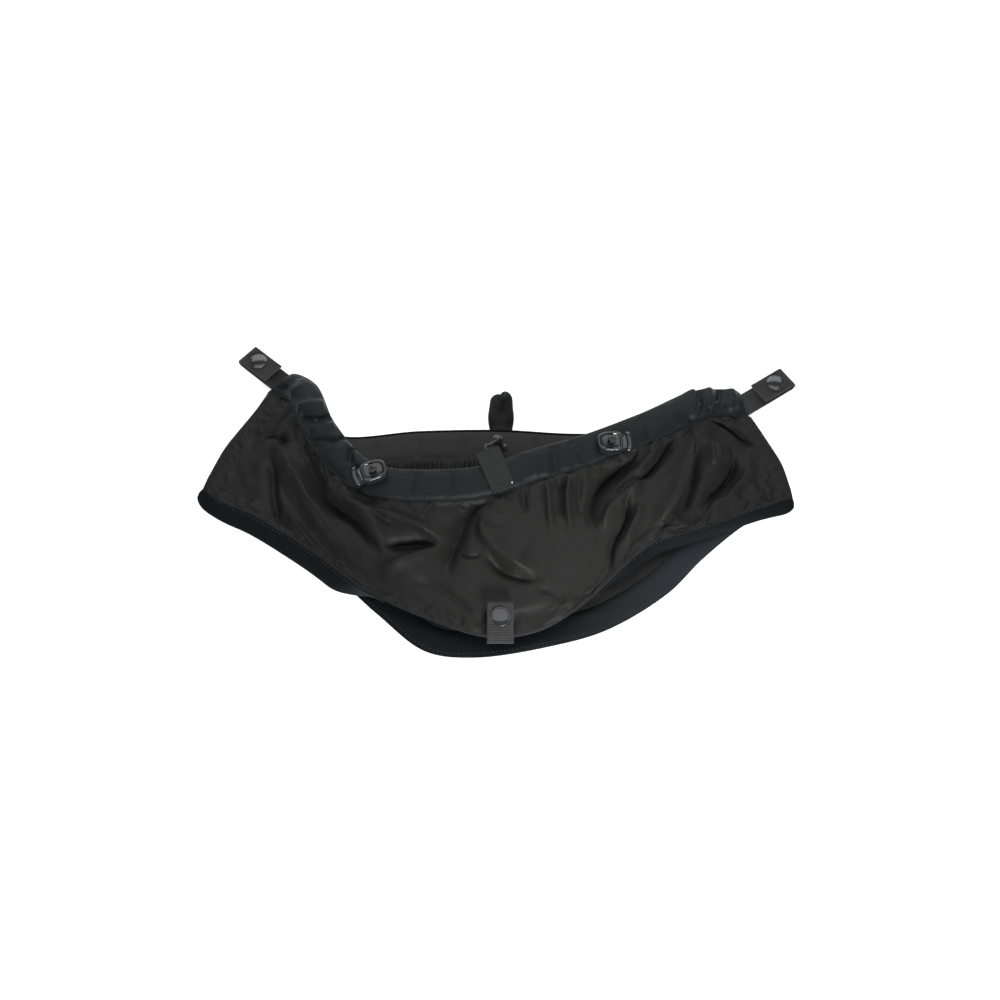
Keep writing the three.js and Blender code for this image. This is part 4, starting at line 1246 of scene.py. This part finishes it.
def turned(name, place, profile, around=48, centre=(0.0, 0.0)):
    """A body turned about z from (radius, height) points, closed or starting and ending on the axis."""
    profile = np.asarray(profile, float)
    turn = np.linspace(0, 2 * np.pi, around, endpoint=False)
    radius, height = profile[:, :1], profile[:, 1:]
    x = centre[0] + radius * np.cos(turn)
    y = centre[1] + radius * np.sin(turn)
    lay = np.stack([radius * turn * MM, (height + 0 * turn) * MM], -1)
    rings = place.at(np.stack([x, y, height + 0 * turn], -1))
    return welded(piece(name, rings, grid_faces(len(profile), around, ring=True), lay))


def ribbon_section(width, thickness, selvedge=0.12):
    """Points round a ribbon's section, whose woven edges are rounded and a little thicker."""
    flat = np.linspace(-1, 1, 13)
    half = thickness / 2 * (1 + selvedge * np.abs(flat) ** 6)
    reach = width / 2 - thickness / 2
    turn = np.linspace(-np.pi / 2, np.pi / 2, 6)[1:-1]
    right = [(reach + half[0] * math.cos(a), half[0] * math.sin(a)) for a in turn]
    top = [(reach * x, h) for x, h in zip(flat[::-1], half[::-1])]
    left = [(-y, z) for y, z in right[::-1]]
    bottom = [(reach * x, -h) for x, h in zip(flat, half)]
    return np.array(bottom + right + top + left)


def ribbon(name, centre, side, width, thickness, selvedge=0.12):
    """A ribbon along centre points. side is its way across, one for all points or one for each."""
    centre = np.asarray(centre, float)
    side = np.broadcast_to(np.asarray(side, float), centre.shape)
    way = unit(np.gradient(centre, axis=0))
    face = unit(np.cross(way, side))
    section = ribbon_section(width, thickness, selvedge)
    y, z = section[:, 0][None, :, None], section[:, 1][None, :, None]
    rings = centre[:, None] + side[:, None] * y + face[:, None] * z
    run = np.concatenate([[0], np.linalg.norm(np.diff(centre, axis=0), axis=1).cumsum()])
    lay = np.stack(np.meshgrid(run, section[:, 0], indexing="ij"), -1)
    return body_of_rings(name, rings, lay)


def joined(name, parts):
    """Several meshes as one object."""
    for other in parts[1:]:
        with bpy.context.temp_override(
            active_object=parts[0], object=parts[0], selected_editable_objects=parts[:1] + [other]
        ):
            bpy.ops.object.join()
    parts[0].name = name
    return parts[0]


def stitch_row(points, face, pitch=3.2 * MM, long=2.2 * MM, radius=0.22 * MM, sink=0.1 * MM):
    """Rings for short stitches along a line, each one a small hump that dives in at both ends."""
    curve = Outline(points)
    count = max(int(curve.length / pitch), 1)
    turn = np.linspace(0, 2 * np.pi, 6, endpoint=False)
    rows = []
    for number in range(count):
        middle = (number + 0.5) / count
        share = middle + np.linspace(-0.5, 0.5, 5) * long / curve.length
        line = curve.at(share)
        normal = face[int(middle * (len(face) - 1))] if np.ndim(face) > 1 else face
        hump = np.array([-2.2, 0, 0.5, 0, -2.2]) * radius - sink
        line = line + normal * hump[:, None]
        way = unit(np.gradient(line, axis=0))
        side = unit(np.cross(way, normal))
        up = np.cross(side, way)
        ring = side[:, None] * np.cos(turn)[:, None] + up[:, None] * np.sin(turn)[:, None]
        rows.append(line[:, None] + radius * ring)
    return rows


def stitches(name, rows, body, slot):
    """All stitch rows of one piece as one mesh of thread."""
    points, faces, lay = [], [], []
    for rings in rows:
        start = len(points)
        stations, around = rings.shape[:2]
        points += rings.reshape(-1, 3).tolist()
        lay += [(0.0004 * i, 0.0003 * j) for i in range(stations) for j in range(around)]
        faces += [tuple(start + index for index in face) for face in grid_faces(stations, around, ring=True)]
        faces.append(tuple(start + j for j in reversed(range(around))))
        faces.append(tuple(start + (stations - 1) * around + j for j in range(around)))
    return fitted(outward(piece(name, points, faces, lay)), body, THREAD, slot)


# %% [markdown]
# ## Snap tabs
#
# Each tab is one length of 20 mm webbing, sewn at its root and folded back over itself, with a ring snap that
# holds the fold. On the real thing the webbing bends to open, so the ribbon here is one mesh. A chain of
# hinged plates would show hard lines.

# %% Where the tabs are
HEADING = {"left": math.radians(139), "right": math.radians(34)}
STITCH_GAP = {"left": 2 * MM, "right": 7 * MM}
REACH = {"left": 42, "right": 42, "front": 26}
SNAP_FROM_FOLD = {"left": 15, "right": 15, "front": 13}
TABS = {}
for side, end in (("left", 0.0), ("right", 1.0)):
    way = np.array([math.cos(HEADING[side]), math.sin(HEADING[side]), 0])
    root = over(front_band(end), BAND_WIDTH / 2)
    root[2] = BACK_BAND_THICKNESS + GAP
    TABS[side] = Place(root + way * STITCH_GAP[side], way, UP)


def cad_panel(s, t):
    top = over(front_band(s), BAND_WIDTH + GAP)
    lip = hem_front.at(s)
    fall = np.linalg.norm((lip - top)[:2])
    point = mix(top, lip, t)
    point[2] += LOFT * 0.16 * math.sin(math.pi * t**0.8) + fall / DEPTH * 4 * MM * t * (1 - t) * t
    return point


FRONT_TAB_PLACE = 0.505
tab_lip = cad_panel(FRONT_TAB_PLACE, 1)
tab_way = cad_panel(FRONT_TAB_PLACE, 0.6) - tab_lip
TABS["front"] = Place(tab_lip + UP * 3.1 * MM, (0, tab_way[1], tab_way[2]), UP)
for side, place in TABS.items():
    swing = Vector(JOINTS[side + "_tab_swing"]["pos_m"])
    gap = (place.at((0, 0, 1.4)) - np.array(swing)) / MM
    print(side, "tab root to its joint", gap.round(2), "mm")

# %% Tab ribbons
WEB = 1.4
RISE = 5.3
SNAP_Z = RISE + WEB + 0.4


def tab_path(side):
    reach = REACH[side]
    fold_radius = (RISE + WEB) / 2
    turn = np.linspace(-np.pi / 2, np.pi / 2, 17)
    bend = [
        (reach - fold_radius + (RISE / 2) * math.cos(a), fold_radius + RISE / 2 * math.sin(a)) for a in turn
    ]
    strap = [(x, WEB / 2) for x in np.linspace(0, bend[0][0], 24)[:-1]]
    flap = [(x, RISE + WEB / 2) for x in np.linspace(bend[-1][0], reach - 33, 24)[1:]]
    path = np.array(strap + bend + flap)
    x, z = path.T
    sag = 0.5 * np.sin(np.pi * np.clip(x / reach, 0, 1)) * (z < RISE)
    curl = 0.3 * smooth(0, 1, (reach - 24 - x) / 9) * (z > RISE)
    return np.stack([x, 0 * x, z - 0.4 * sag + curl], -1)


def tab(side):
    place = TABS[side]
    obj = ribbon(side + "_tab_webbing", place.at(tab_path(side)), place.axes[1], WEBBING_WIDTH, WEBBING)
    tab_body, flap_body = side + "_tab", side + "_flap"
    place.at((0, 0, WEB))
    place.at((0, 0, RISE))
    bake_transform(obj)
    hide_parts(side + "_tab_strap", side + "_tab_flap")
    return dress(obj, WEBBING_FINISH)


def tab_root(side, back):
    """The hidden end of the webbing, from inside the waistband to the stitch line, where it bends."""
    place = TABS[side]
    x = np.linspace(-back, 0.3, 30)
    line = np.stack([x, 0 * x, WEB / 2 + 1.6 * smooth(0, 1, (-2 - x) / (back - 2))], -1)
    obj = ribbon(side + "_tab_root", place.at(line), place.axes[1], WEBBING_WIDTH, WEBBING)
    place.at((-2.5, 0, WEB / 2))
    place.at((0, 0, WEB / 2))
    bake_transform(obj)
    return dress(obj, WEBBING_FINISH)


for side in TABS:
    tab(side)
tab_root("left", 12)
tab_root("right", 17)

# %% [markdown]
# A ring snap has four parts: a domed cap whose barrel goes through the flap, the socket it clinches, and on
# the strap a stud held by a rivet. The dome is low and glossy, with a rolled rim, so it shows a sharp
# reflection. All four are turned parts.

# %% Snaps
def snap(side):
    place = TABS[side]
    at = (REACH[side] - SNAP_FROM_FOLD[side], 0.0)
    dome = [(0.0, SNAP_Z + 1.85)]
    dome += [(6.6 * math.sin(a), SNAP_Z + 0.95 + 0.9 * math.cos(a)) for a in np.linspace(0.15, 1.35, 10)]
    rim = eased([(6.7, SNAP_Z + 1.1), (7.5, SNAP_Z + 0.95), (7.5, SNAP_Z + 0.1), (6.9, SNAP_Z)], 0.45, 5)
    inner = [(5.4, SNAP_Z + 0.3), (1.8, SNAP_Z + 0.3), (1.8, 4.4), (1.2, 4.4), (0, 4.4)]
    cap = turned(side + "_snap_cap_dome", place, np.vstack([dome, rim, inner]), 96, at)
    fitted(cap, side + "_flap", SNAP, "snap_metal", side + "_snap_cap")
    rings = {
        "snap_socket": ("_flap", [(2.2, 4.2), (3.6, 4.2), (3.6, 2.6), (4.75, 2.6), (5.75, 3.75), (5.75, 4.9),
                                  (2.2, 4.9), (2.2, 4.2)]),
        "snap_stud": ("_tab", [(2.2, 1.8), (5.75, 1.8), (5.75, 2.15), (3.2, 2.5), (3.0, 2.9), (3.2, 3.2),
                               (2.8, 3.4), (2.2, 3.4), (2.2, 1.8)]),
        "snap_rivet": ("_tab", [(0, -1.1), (5.2, -1.1), (5.75, -0.8), (5.75, -0.4), (1.8, -0.4), (1.8, 3.1),
                                (0, 3.1)]),
    }
    for kind, (body, corners) in rings.items():
        part = turned(side + "_" + kind + "_turned", place, eased(corners, 0.3), 64, at)
        fitted(part, side + body, SNAP, "snap_metal", side + "_" + kind)


for side in TABS:
    snap(side)

# %% [markdown]
# ## Cord locks
#
# A cord lock is a moulded body with a sprung plunger. Its hole lines up with the plunger's slot only when the
# head is pressed, so the spring grips the cord at rest. The body is lofted through level outlines: a rounded
# back, an open front and a shallow dish in the top. The bore, the spring's room and the cord's hole are cut
# out of it.

# %% Cord lock bodies
LOCK_LOW = 1.6
LOCK_HIGH = 9.6
LOCK_MIDDLE = 5.6
BORE_HEIGHTS = (3.1, 8.1)
PLUNGER_HALF = 8.4
PLUNGER_BOW = 1.1
RIB_PITCH = 1.8
RIB_HALF = 0.4
COIL_TURNS = 4
COIL_RADIUS = 1.8
LOCKS = {}
for side in ("left", "right"):
    swivel = JOINTS[side + "_lock_swivel"]
    press = JOINTS[side + "_lock_press"]
    LOCKS[side] = Place(swivel["pos_m"], -np.array(press["axis"]), swivel["axis"])


def lock_outline(inset, count=56):
    """The lock's outline from above: a round back, nearly straight sides and a slightly convex front."""
    turn = np.linspace(0, 2 * np.pi, count, endpoint=False)
    c, s = np.cos(turn), np.sin(turn)
    front = np.clip(c, 0, 1) ** 0.42 * 9.0
    back = np.clip(-c, 0, 1) ** 0.8 * 11.0
    half = np.where(c > 0, np.abs(s) ** 0.28, np.abs(s) ** 0.62) * 8.5
    x = (front - back) * (1 - inset / 10)
    return np.stack([x, np.copysign(half, s) * (1 - inset / 8.5)], -1)


def cut_away(obj, *tools):
    for tool in tools:
        obj = finished(obj, "BOOLEAN", object=tool, operation="DIFFERENCE", solver="EXACT")
        bpy.data.objects.remove(tool)
    return obj


def block(name, place, x, y, z, round_off=0.4):
    """A box with rounded edges, from ranges in the place's millimetres."""
    (x0, x1), (y0, y1), (z0, z1) = x, y, z
    corners = [(y0, z0), (y1, z0), (y1, z1), (y0, z1)]
    middle = ((y0 + y1) / 2, z0)
    section = eased([middle, *corners[1:], corners[0], middle], round_off, 4)[:-1]
    rows = [(x0, 1 - 0.5 * round_off), (x0 + round_off, 1), (x1 - round_off, 1), (x1, 1 - 0.5 * round_off)]
    cy, cz = (y0 + y1) / 2, (z0 + z1) / 2
    rings = []
    for at, keep in rows:
        size_y = 1 - (1 - keep) * 2 * round_off / (y1 - y0) * 2
        size_z = 1 - (1 - keep) * 2 * round_off / (z1 - z0) * 2
        rings.append([(at, cy + (p[0] - cy) * size_y, cz + (p[1] - cz) * size_z) for p in section])
    return body_of_rings(name, place.at(rings))


def lock(side):
    place = LOCKS[side]
    levels = [
        (0.7, LOCK_LOW), (0.2, LOCK_LOW + 0.25), (0.0, LOCK_LOW + 0.8), (0.0, LOCK_HIGH - 1.2),
        (0.15, LOCK_HIGH - 0.5), (0.5, LOCK_HIGH - 0.12), (0.95, LOCK_HIGH), (1.6, LOCK_HIGH - 0.05),
        (2.1, LOCK_HIGH - 0.4), (2.4, LOCK_HIGH - 0.9), (3.0, LOCK_HIGH - 1.02), (5.5, LOCK_HIGH - 1.05),
    ]
    rings = [[(x, y, z) for x, y in lock_outline(inset)] for inset, z in levels]
    body = body_of_rings(side + "_lock_shell", place.at(rings))
    bore = block("bore", place, (-7.5, 14), (-7, 7), BORE_HEIGHTS, 0.5)
    spring_room = block("spring_room", place, (-9.4, -7), (-3.6, 3.6), BORE_HEIGHTS, 0.3)
    funnel = [(0, 0), (2.9, 0), (2.7, 1.7), (2.7, 8.1), (3.1, 9.4), (3.1, 11), (0, 11)]
    body = cut_away(body, bore, spring_room, turned("hole", place, funnel, 40))
    return fitted(body, side + "_lock", PLASTIC, "moulded_plastic", side + "_lock_body")


def plunger_bow(y):
    return PLUNGER_BOW * (y / PLUNGER_HALF) ** 2


def plunger(side):
    """The head, bowed back at both sides and ribbed for the thumb, and the slotted tongue behind it."""
    place = LOCKS[side]
    low, high = LOCK_LOW, LOCK_HIGH
    section = eased([(0, low), (3.4, low), (3.4, high), (0, high), (0, low)], 0.8, 4)[1:-1]
    rings = []
    for y in np.linspace(-PLUNGER_HALF, PLUNGER_HALF, 33):
        edge = 1 - 0.25 * (abs(y) / PLUNGER_HALF) ** 8
        back = plunger_bow(y)
        ring = [(12.95 + x * edge - back, y, LOCK_MIDDLE + (z - LOCK_MIDDLE) * edge) for x, z in section]
        rings.append(ring)
    head = body_of_rings(side + "_plunger_head", place.at(rings))
    ribs = []
    for number in range(-3, 4):
        y = number * RIB_PITCH
        back = plunger_bow(y)
        ribs.append(block("rib", place, (15.0 - back, 16.6 - back), (y - RIB_HALF, y + RIB_HALF), (2.6, 8.6)))
    tongue = block("tongue", place, (-3.6, 13.6), (-6.6, 6.6), (3.5, 7.7), 0.4)
    slot_hole = block("slot_hole", place, (-1.9, 5.4), (-1.9, 1.9), (2, 9), 0.6)
    tongue = cut_away(tongue, slot_hole)
    obj = joined(side + "_plunger_moulding", [head, tongue, *ribs])
    return fitted(obj, side + "_plunger", PLASTIC, "moulded_plastic", side + "_lock_plunger")


def eyelet(side):
    corners = [
        (2.5, -1.1), (2.9, -1.1), (2.9, 0.4), (5.0, 0.4), (5.0, 0.8), (4.4, 1.2), (2.9, 1.2), (2.5, 0.8),
        (2.5, -1.1),
    ]
    obj = turned(side + "_eyelet_ring", LOCKS[side], eased(corners, 0.3), 64)
    return fitted(obj, "root", STEEL, "steel", side + "_eyelet")


def spring(side):
    """A coil of wire in the lock, its spring."""
    place = LOCKS[side]
    share = np.linspace(0, 1, 240)
    turn = 2 * np.pi * COIL_TURNS * share
    x = mix(-8.85, -4.25, share)
    y, z = COIL_RADIUS * np.cos(turn), LOCK_MIDDLE + COIL_RADIUS * np.sin(turn)
    obj = swept(side + "_lock_coil", place.at(np.stack([x, y, z], -1)), 0.22 * MM, 200, 8)
    fitted(obj, side + "_lock", STEEL, "steel", side + "_lock_spring")
    side + "_lock_press"
    place.at((-9.1, 0, LOCK_MIDDLE))
    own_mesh(obj)
    return obj


for side in LOCKS:
    lock(side)
    plunger(side)
    eyelet(side)
    spring(side)

# %% [markdown]
# The drawcord runs in the casing from the arm's end, turns up through the eyelet and the lock, and stops in
# an overhand knot, which is a trefoil curve.

# %% Drawcords and knots
CORD_RADIUS = 1.5 * MM
KNOT_SIZE = 0.76
LOCK_PLACE = {"left": 0.301, "right": 0.703}
LOCK_SEAT = {"left": 0.4, "right": 0.68}


def drawcord(side, corner):
    place, seat = LOCK_PLACE[side], LOCK_SEAT[side]
    point, along, across, face = front_band(place)
    inward = along * (1 if corner == 0 else -1)
    share = 0.94 * np.arange(9) / 8
    s = mix(mix(corner, place, 0.04), place, share)
    route = list(over(front_band(s), mix(0.5, seat, share**2) * BAND_WIDTH))
    leave = point + across * seat * BAND_WIDTH
    bend = 2 * CORD_RADIUS
    start = leave - inward * bend
    route.append(start)
    for turn in (math.pi / 6, math.pi / 3):
        route.append(start + inward * bend * math.sin(turn) + face * bend * (1 - math.cos(turn)))
    top = BAND_THICKNESS / 2 + (LOCK_HIGH + 0.6) * MM
    for height in (bend, 0.5 * top + bend / 2, top):
        route.append(leave + face * height)
    obj = swept(side + "_drawcord_braid", route, CORD_RADIUS, 200, 16)
    low, high = LOCKS[side].at((0, 0, LOCK_LOW)), LOCKS[side].at((0, 0, LOCK_HIGH + 0.4))
    side + "_cord_end"
    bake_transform(obj)
    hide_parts(side + "_drawcord")
    return dress(obj, CORD)


def knot(side):
    turn = np.linspace(0, 2 * np.pi, 97)
    x = KNOT_SIZE * (np.sin(turn) + 2 * np.sin(2 * turn))
    y = KNOT_SIZE * (np.cos(turn) - 2 * np.cos(2 * turn))
    z = LOCK_HIGH + 0.4 + 1.75 - 0.72 * np.sin(3 * turn)
    line = LOCKS[side].at(np.stack([x, y, z], -1))
    obj = swept(side + "_cord_overhand", line, 1.02 * MM, 150, 12)
    return fitted(obj, side + "_cord_end", CORD, "cord", side + "_cord_knot")


for side, corner in (("left", 0.0), ("right", 1.0)):
    drawcord(side, corner)
    knot(side)

# %% [markdown]
# ## The grab loop and the waist pull
#
# At the middle of the back waistband a loop of webbing is sewn on to hang the skirt or to pull it off. Its
# top half twists as it lies. Next to it a ball and a bead on a thin cord belong to the waist pull, whose
# stiff tab lies over the front waistband.

# %% The grab loop
loop_root = over(back_band(0.5), -2 * GAP)
LOOP = Place((loop_root[0], loop_root[1], GAP), (0, 1, 0), UP)
LOOP_PATH = [
    (0.3, 0.8, 1.0), (6, 1.6, 1.8), (14, 3.4, 5.6), (21, 3.4, 6.6), (26.5, 2.4, 6.7), (29.6, 0.6, 6.9),
    (30, -1.4, 7.1), (27.6, -3.0, 7.1), (22, -3.6, 6.9), (14, -3.2, 6.4), (6.5, -1.6, 3.0), (0.4, -0.8, 2.5),
]


LOOP_WIDTH = 16.5 * MM
LOOP_LEAN = math.radians(44)


def grab_loop():
    """The ribbon stands half on its edge, so its two strands lie side by side with a slit between them."""
    centre = Outline(LOOP_PATH).at(np.linspace(0, 1, 140))
    share = np.linspace(0, 1, 140)
    way = unit(np.gradient(centre, axis=0) * (1, 1, 0.6))
    lean = LOOP_LEAN * smooth(0.09, 0.32, share) * (1 - smooth(0.68, 0.91, share))
    level = np.array([0.0, 1.0, 0.0]) * np.cos(np.pi * smooth(0.36, 0.6, share))[:, None]
    upright = np.array([0.0, 0.0, 1.0])
    side = level * np.cos(lean)[:, None] + upright * np.sin(lean)[:, None]
    side = unit(side - way * (side * way).sum(-1, keepdims=True))
    line = LOOP.at(centre)
    obj = ribbon("rear_grab_loop_webbing", line, side @ LOOP.axes, LOOP_WIDTH, WEBBING)
    return fitted(obj, "rear_loop", LOOP_FINISH, "webbing", "rear_grab_loop")


grab_loop()

# %% Ball, bead, cord and pull tab
pull_seat = over(front_band(0.5), BAND_WIDTH / 2, BAND_THICKNESS / 2 + GAP)
BALL = 8.5 * MM
BEAD = 4.5 * MM
pull_heading = math.radians(-67)
pull_way = np.array([math.cos(pull_heading), math.sin(pull_heading), 0])
pull_face = front_band(0.5)[3]
pull_forward = unit(pull_way - pull_face * pull_way.dot(pull_face))
PULL = Place(pull_seat - pull_forward * 24 * MM, pull_forward, pull_face)


def on_back_band(x, share, diameter):
    height = BACK_BAND_THICKNESS / 2 + GAP + diameter / 2
    return over(back_band(0.5 + x / (2 * HALF_WIDTH)), share * BAND_WIDTH, height)


ball_place = on_back_band(-3 * MM, 0.4, BALL)
bead_place = on_back_band(4 * MM, 0.6, BEAD)
cord_top = PULL.at((-0.4, 0, 1))
cord_way = unit(cord_top - ball_place)


def beaded(name, at, way, diameter, node):
    """A moulded bead: a sphere with a flat round its hole and a fine parting line."""
    place = Place(at, np.cross(way, UP), way)
    r = diameter / MM / 2
    turn = np.linspace(math.radians(20), math.radians(160), 28)
    groove = 1 - 0.035 * np.exp(-(((turn - math.pi / 2) / 0.06) ** 2))
    outer = [(r * g * math.sin(a), r * math.cos(a)) for a, g in zip(turn, groove)]
    hole = r * math.sin(math.radians(20)) * 0.8
    height = r * math.cos(math.radians(20))
    obj = turned(name, place, [*outer, (hole, -height), (hole, height), outer[0]], 48)
    return fitted(obj, "root", BALL_PLASTIC, "moulded_plastic", node)


beaded("rear_pull_ball_moulding", ball_place, cord_way, BALL, "rear_pull_ball")
beaded("rear_pull_bead_moulding", bead_place, bead_place - ball_place, BEAD, "rear_pull_bead")
between_beads = swept(
    "rear_pull_bead_cord",
    [ball_place, mix(ball_place, bead_place, 0.5) + UP * 0.6 * MM, bead_place],
    1.1 * MM, 24,
)
fitted(between_beads, "root", CORD, "cord")
cord_foot = ball_place + cord_way * (8.5 / 2 + 0.2) * MM
pull_cord = swept(
    "rear_pull_cord_braid",
    [
        cord_foot, mix(cord_foot, cord_top, 0.35) + UP * 2 * MM, mix(cord_foot, cord_top, 0.7) + UP * 3 * MM,
        cord_top - pull_forward * 2.4 * MM, cord_top + pull_forward * 1.5 * MM,
    ],
    1.2 * MM, 60, 14,
)
fitted(pull_cord, "root", CORD, "cord", "rear_pull_cord")

PULL_LENGTH = 36
PULL_WIDTH = 20 * MM
PULL_THICKNESS = 1.9 * MM
x = np.linspace(0, PULL_LENGTH, 40)
pull_line = np.stack([x, 0 * x, 1 + 0.25 * np.sin(x / PULL_LENGTH * np.pi)], -1)
pull_tab = ribbon("rear_pull_tab_webbing", PULL.at(pull_line), PULL.axes[1], PULL_WIDTH, PULL_THICKNESS, 0.05)
fitted(pull_tab, "rear_pull", TAB_FINISH, "webbing", "rear_pull_tab")
rivet_profile = [(0, 2.0), (1.0, 2.0), (0.9, 2.5), (0.5, 2.8), (0, 2.85)]
rivet = turned("rear_pull_rivet", PULL, rivet_profile, 24, (33.5, 7.6))
fitted(rivet, "rear_pull", STEEL, "steel")

# %% [markdown]
# ## Stitching
#
# Every seam that shows gets real thread: short humps that dive into the cloth at both ends. A texture of
# dashes would look flat where the light grazes it.

# %% Stitch rows
s = np.linspace(0.02, 0.98, 120)
band_row = front_band_surface(s, 0 * s + 24.9 / 27, 0 * s + 1)
stitches("waistband_front_stitches", stitch_row(band_row, front_band(s)[3]), "root", "band_fabric")
s = np.linspace(0.03, 0.97, 120)
back_row = back_band_surface(s, 0 * s + 25.0 / 27, 0 * s + 1)
stitches("waistband_back_stitches", stitch_row(back_row, back_band(s)[3]), "root", "band_fabric")
hem_rows = stitch_row(front_hem_surface(s, 0 * s + 0.2, 0 * s + 1), front_hem_strip(s)[0][3])
hem_rows += stitch_row(back_hem_surface(s, 0 * s + 0.85, 0 * s + 1), back_hem_strip(s)[3])
stitches("hem_stitches", hem_rows, "root", "hem_fabric")


def stitched_box(place, corners, height):
    """Rows round a rectangle, with a cross in it."""
    (x0, x1), (y0, y1) = corners
    a, b, c, d = np.array([(x0, y0), (x1, y0), (x1, y1), (x0, y1)])
    rows = []
    for start, end in ((a, b), (b, c), (c, d), (d, a), (a, c), (d, b)):
        line = place.at([(*mix(start, end, t), height) for t in (0, 0.5, 1)])
        rows += stitch_row(line, place.axes[2], pitch=2.4 * MM, long=1.7 * MM, radius=0.2 * MM)
    return rows


pull_rows = []
for y in (-7.8, 7.8):
    line = PULL.at([(2, y, 2.05), (18, y, 2.25), (34, y, 2.05)])
    pull_rows += stitch_row(line, PULL.axes[2], pitch=2.4 * MM, long=1.7 * MM, radius=0.18 * MM)
stitches("rear_pull_stitches", pull_rows, "rear_pull", "webbing")
front_rows = stitched_box(TABS["front"], ((0.8, 6), (-8, 8)), WEB)
stitches("front_tab_stitches", front_rows, "front_tab", "webbing")

# %% Floor and light
FLOOR_REACH = 12
floor_corners = [(x * FLOOR_REACH, y * FLOOR_REACH, 0) for x, y in ((-1, -1), (1, -1), (1, 1), (-1, 1))]
floor_mesh = bpy.data.meshes.new("floor")
floor_mesh.from_pydata(floor_corners, [], [(0, 1, 2, 3)])
floor = linked("floor", floor_mesh)
paper = Finish("floor_paper")
paper.set(Base_Color=shade(0.9), Roughness=0.9, Emission_Color=shade(1.0), Emission_Strength=0.75)
floor_mesh.materials.append(paper.material)
floor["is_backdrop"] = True


def softbox(name, place, aim, size, power):
    light = bpy.data.lights.new(name, "AREA")
    light.shape = "RECTANGLE"
    light.size, light.size_y = size
    light.energy = power
    obj = linked(name, light)
    obj.location = Vector(place)
    obj.rotation_euler = (Vector(aim) - Vector(place)).to_track_quat("-Z", "Y").to_euler()
    return obj


softbox("key", (0.3, -1.1, 0.5), (0, 0, 0), (0.4, 0.3), 17)
softbox("back", (0.0, 1.2, 0.85), (0, 0, 0), (1.8, 0.8), 10)
softbox("top", (0.0, 0.12, 1.3), (0.0, 0.12, 0), (1.4, 0.95), 6)
world = bpy.data.worlds.new("studio")
bpy.context.scene.world = world
world.use_nodes = True
background = world.node_tree.nodes["Background"].inputs
background["Color"].default_value = (1, 1, 1, 1)
background["Strength"].default_value = 0.1
bpy.context.scene.view_settings.view_transform = "Standard"

# %% [markdown]
# The area of each cloth piece is printed beside the area of its flat cut.

# %% Sheets
def declared(obj, flat, held, *rests_on, area=None):
    print(obj.name, "cloth", round(cloth_area(obj), 4), "of", round(area or flat[0] * flat[1], 4), "m2")


lows = [(min(v.co.z for v in obj.data.vertices), obj.name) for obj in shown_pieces()]
print("lowest pieces", [(round(low / MM, 2), name) for low, name in sorted(lows)[:6]])
declared(front_panel, (0.58, 0.125), "draped", back_panel, area=0.053)
declared(back_panel, (0.47, 0.13), "laid", area=0.045)
declared(waistband, (0.42, 0.062), "gathered", front_panel)
declared(back_waistband, (0.42, 0.062), "gathered", back_panel)
declared(front_hem, (0.6, 0.03), "folded", front_panel)
declared(back_hem, (0.62, 0.046), "laid")
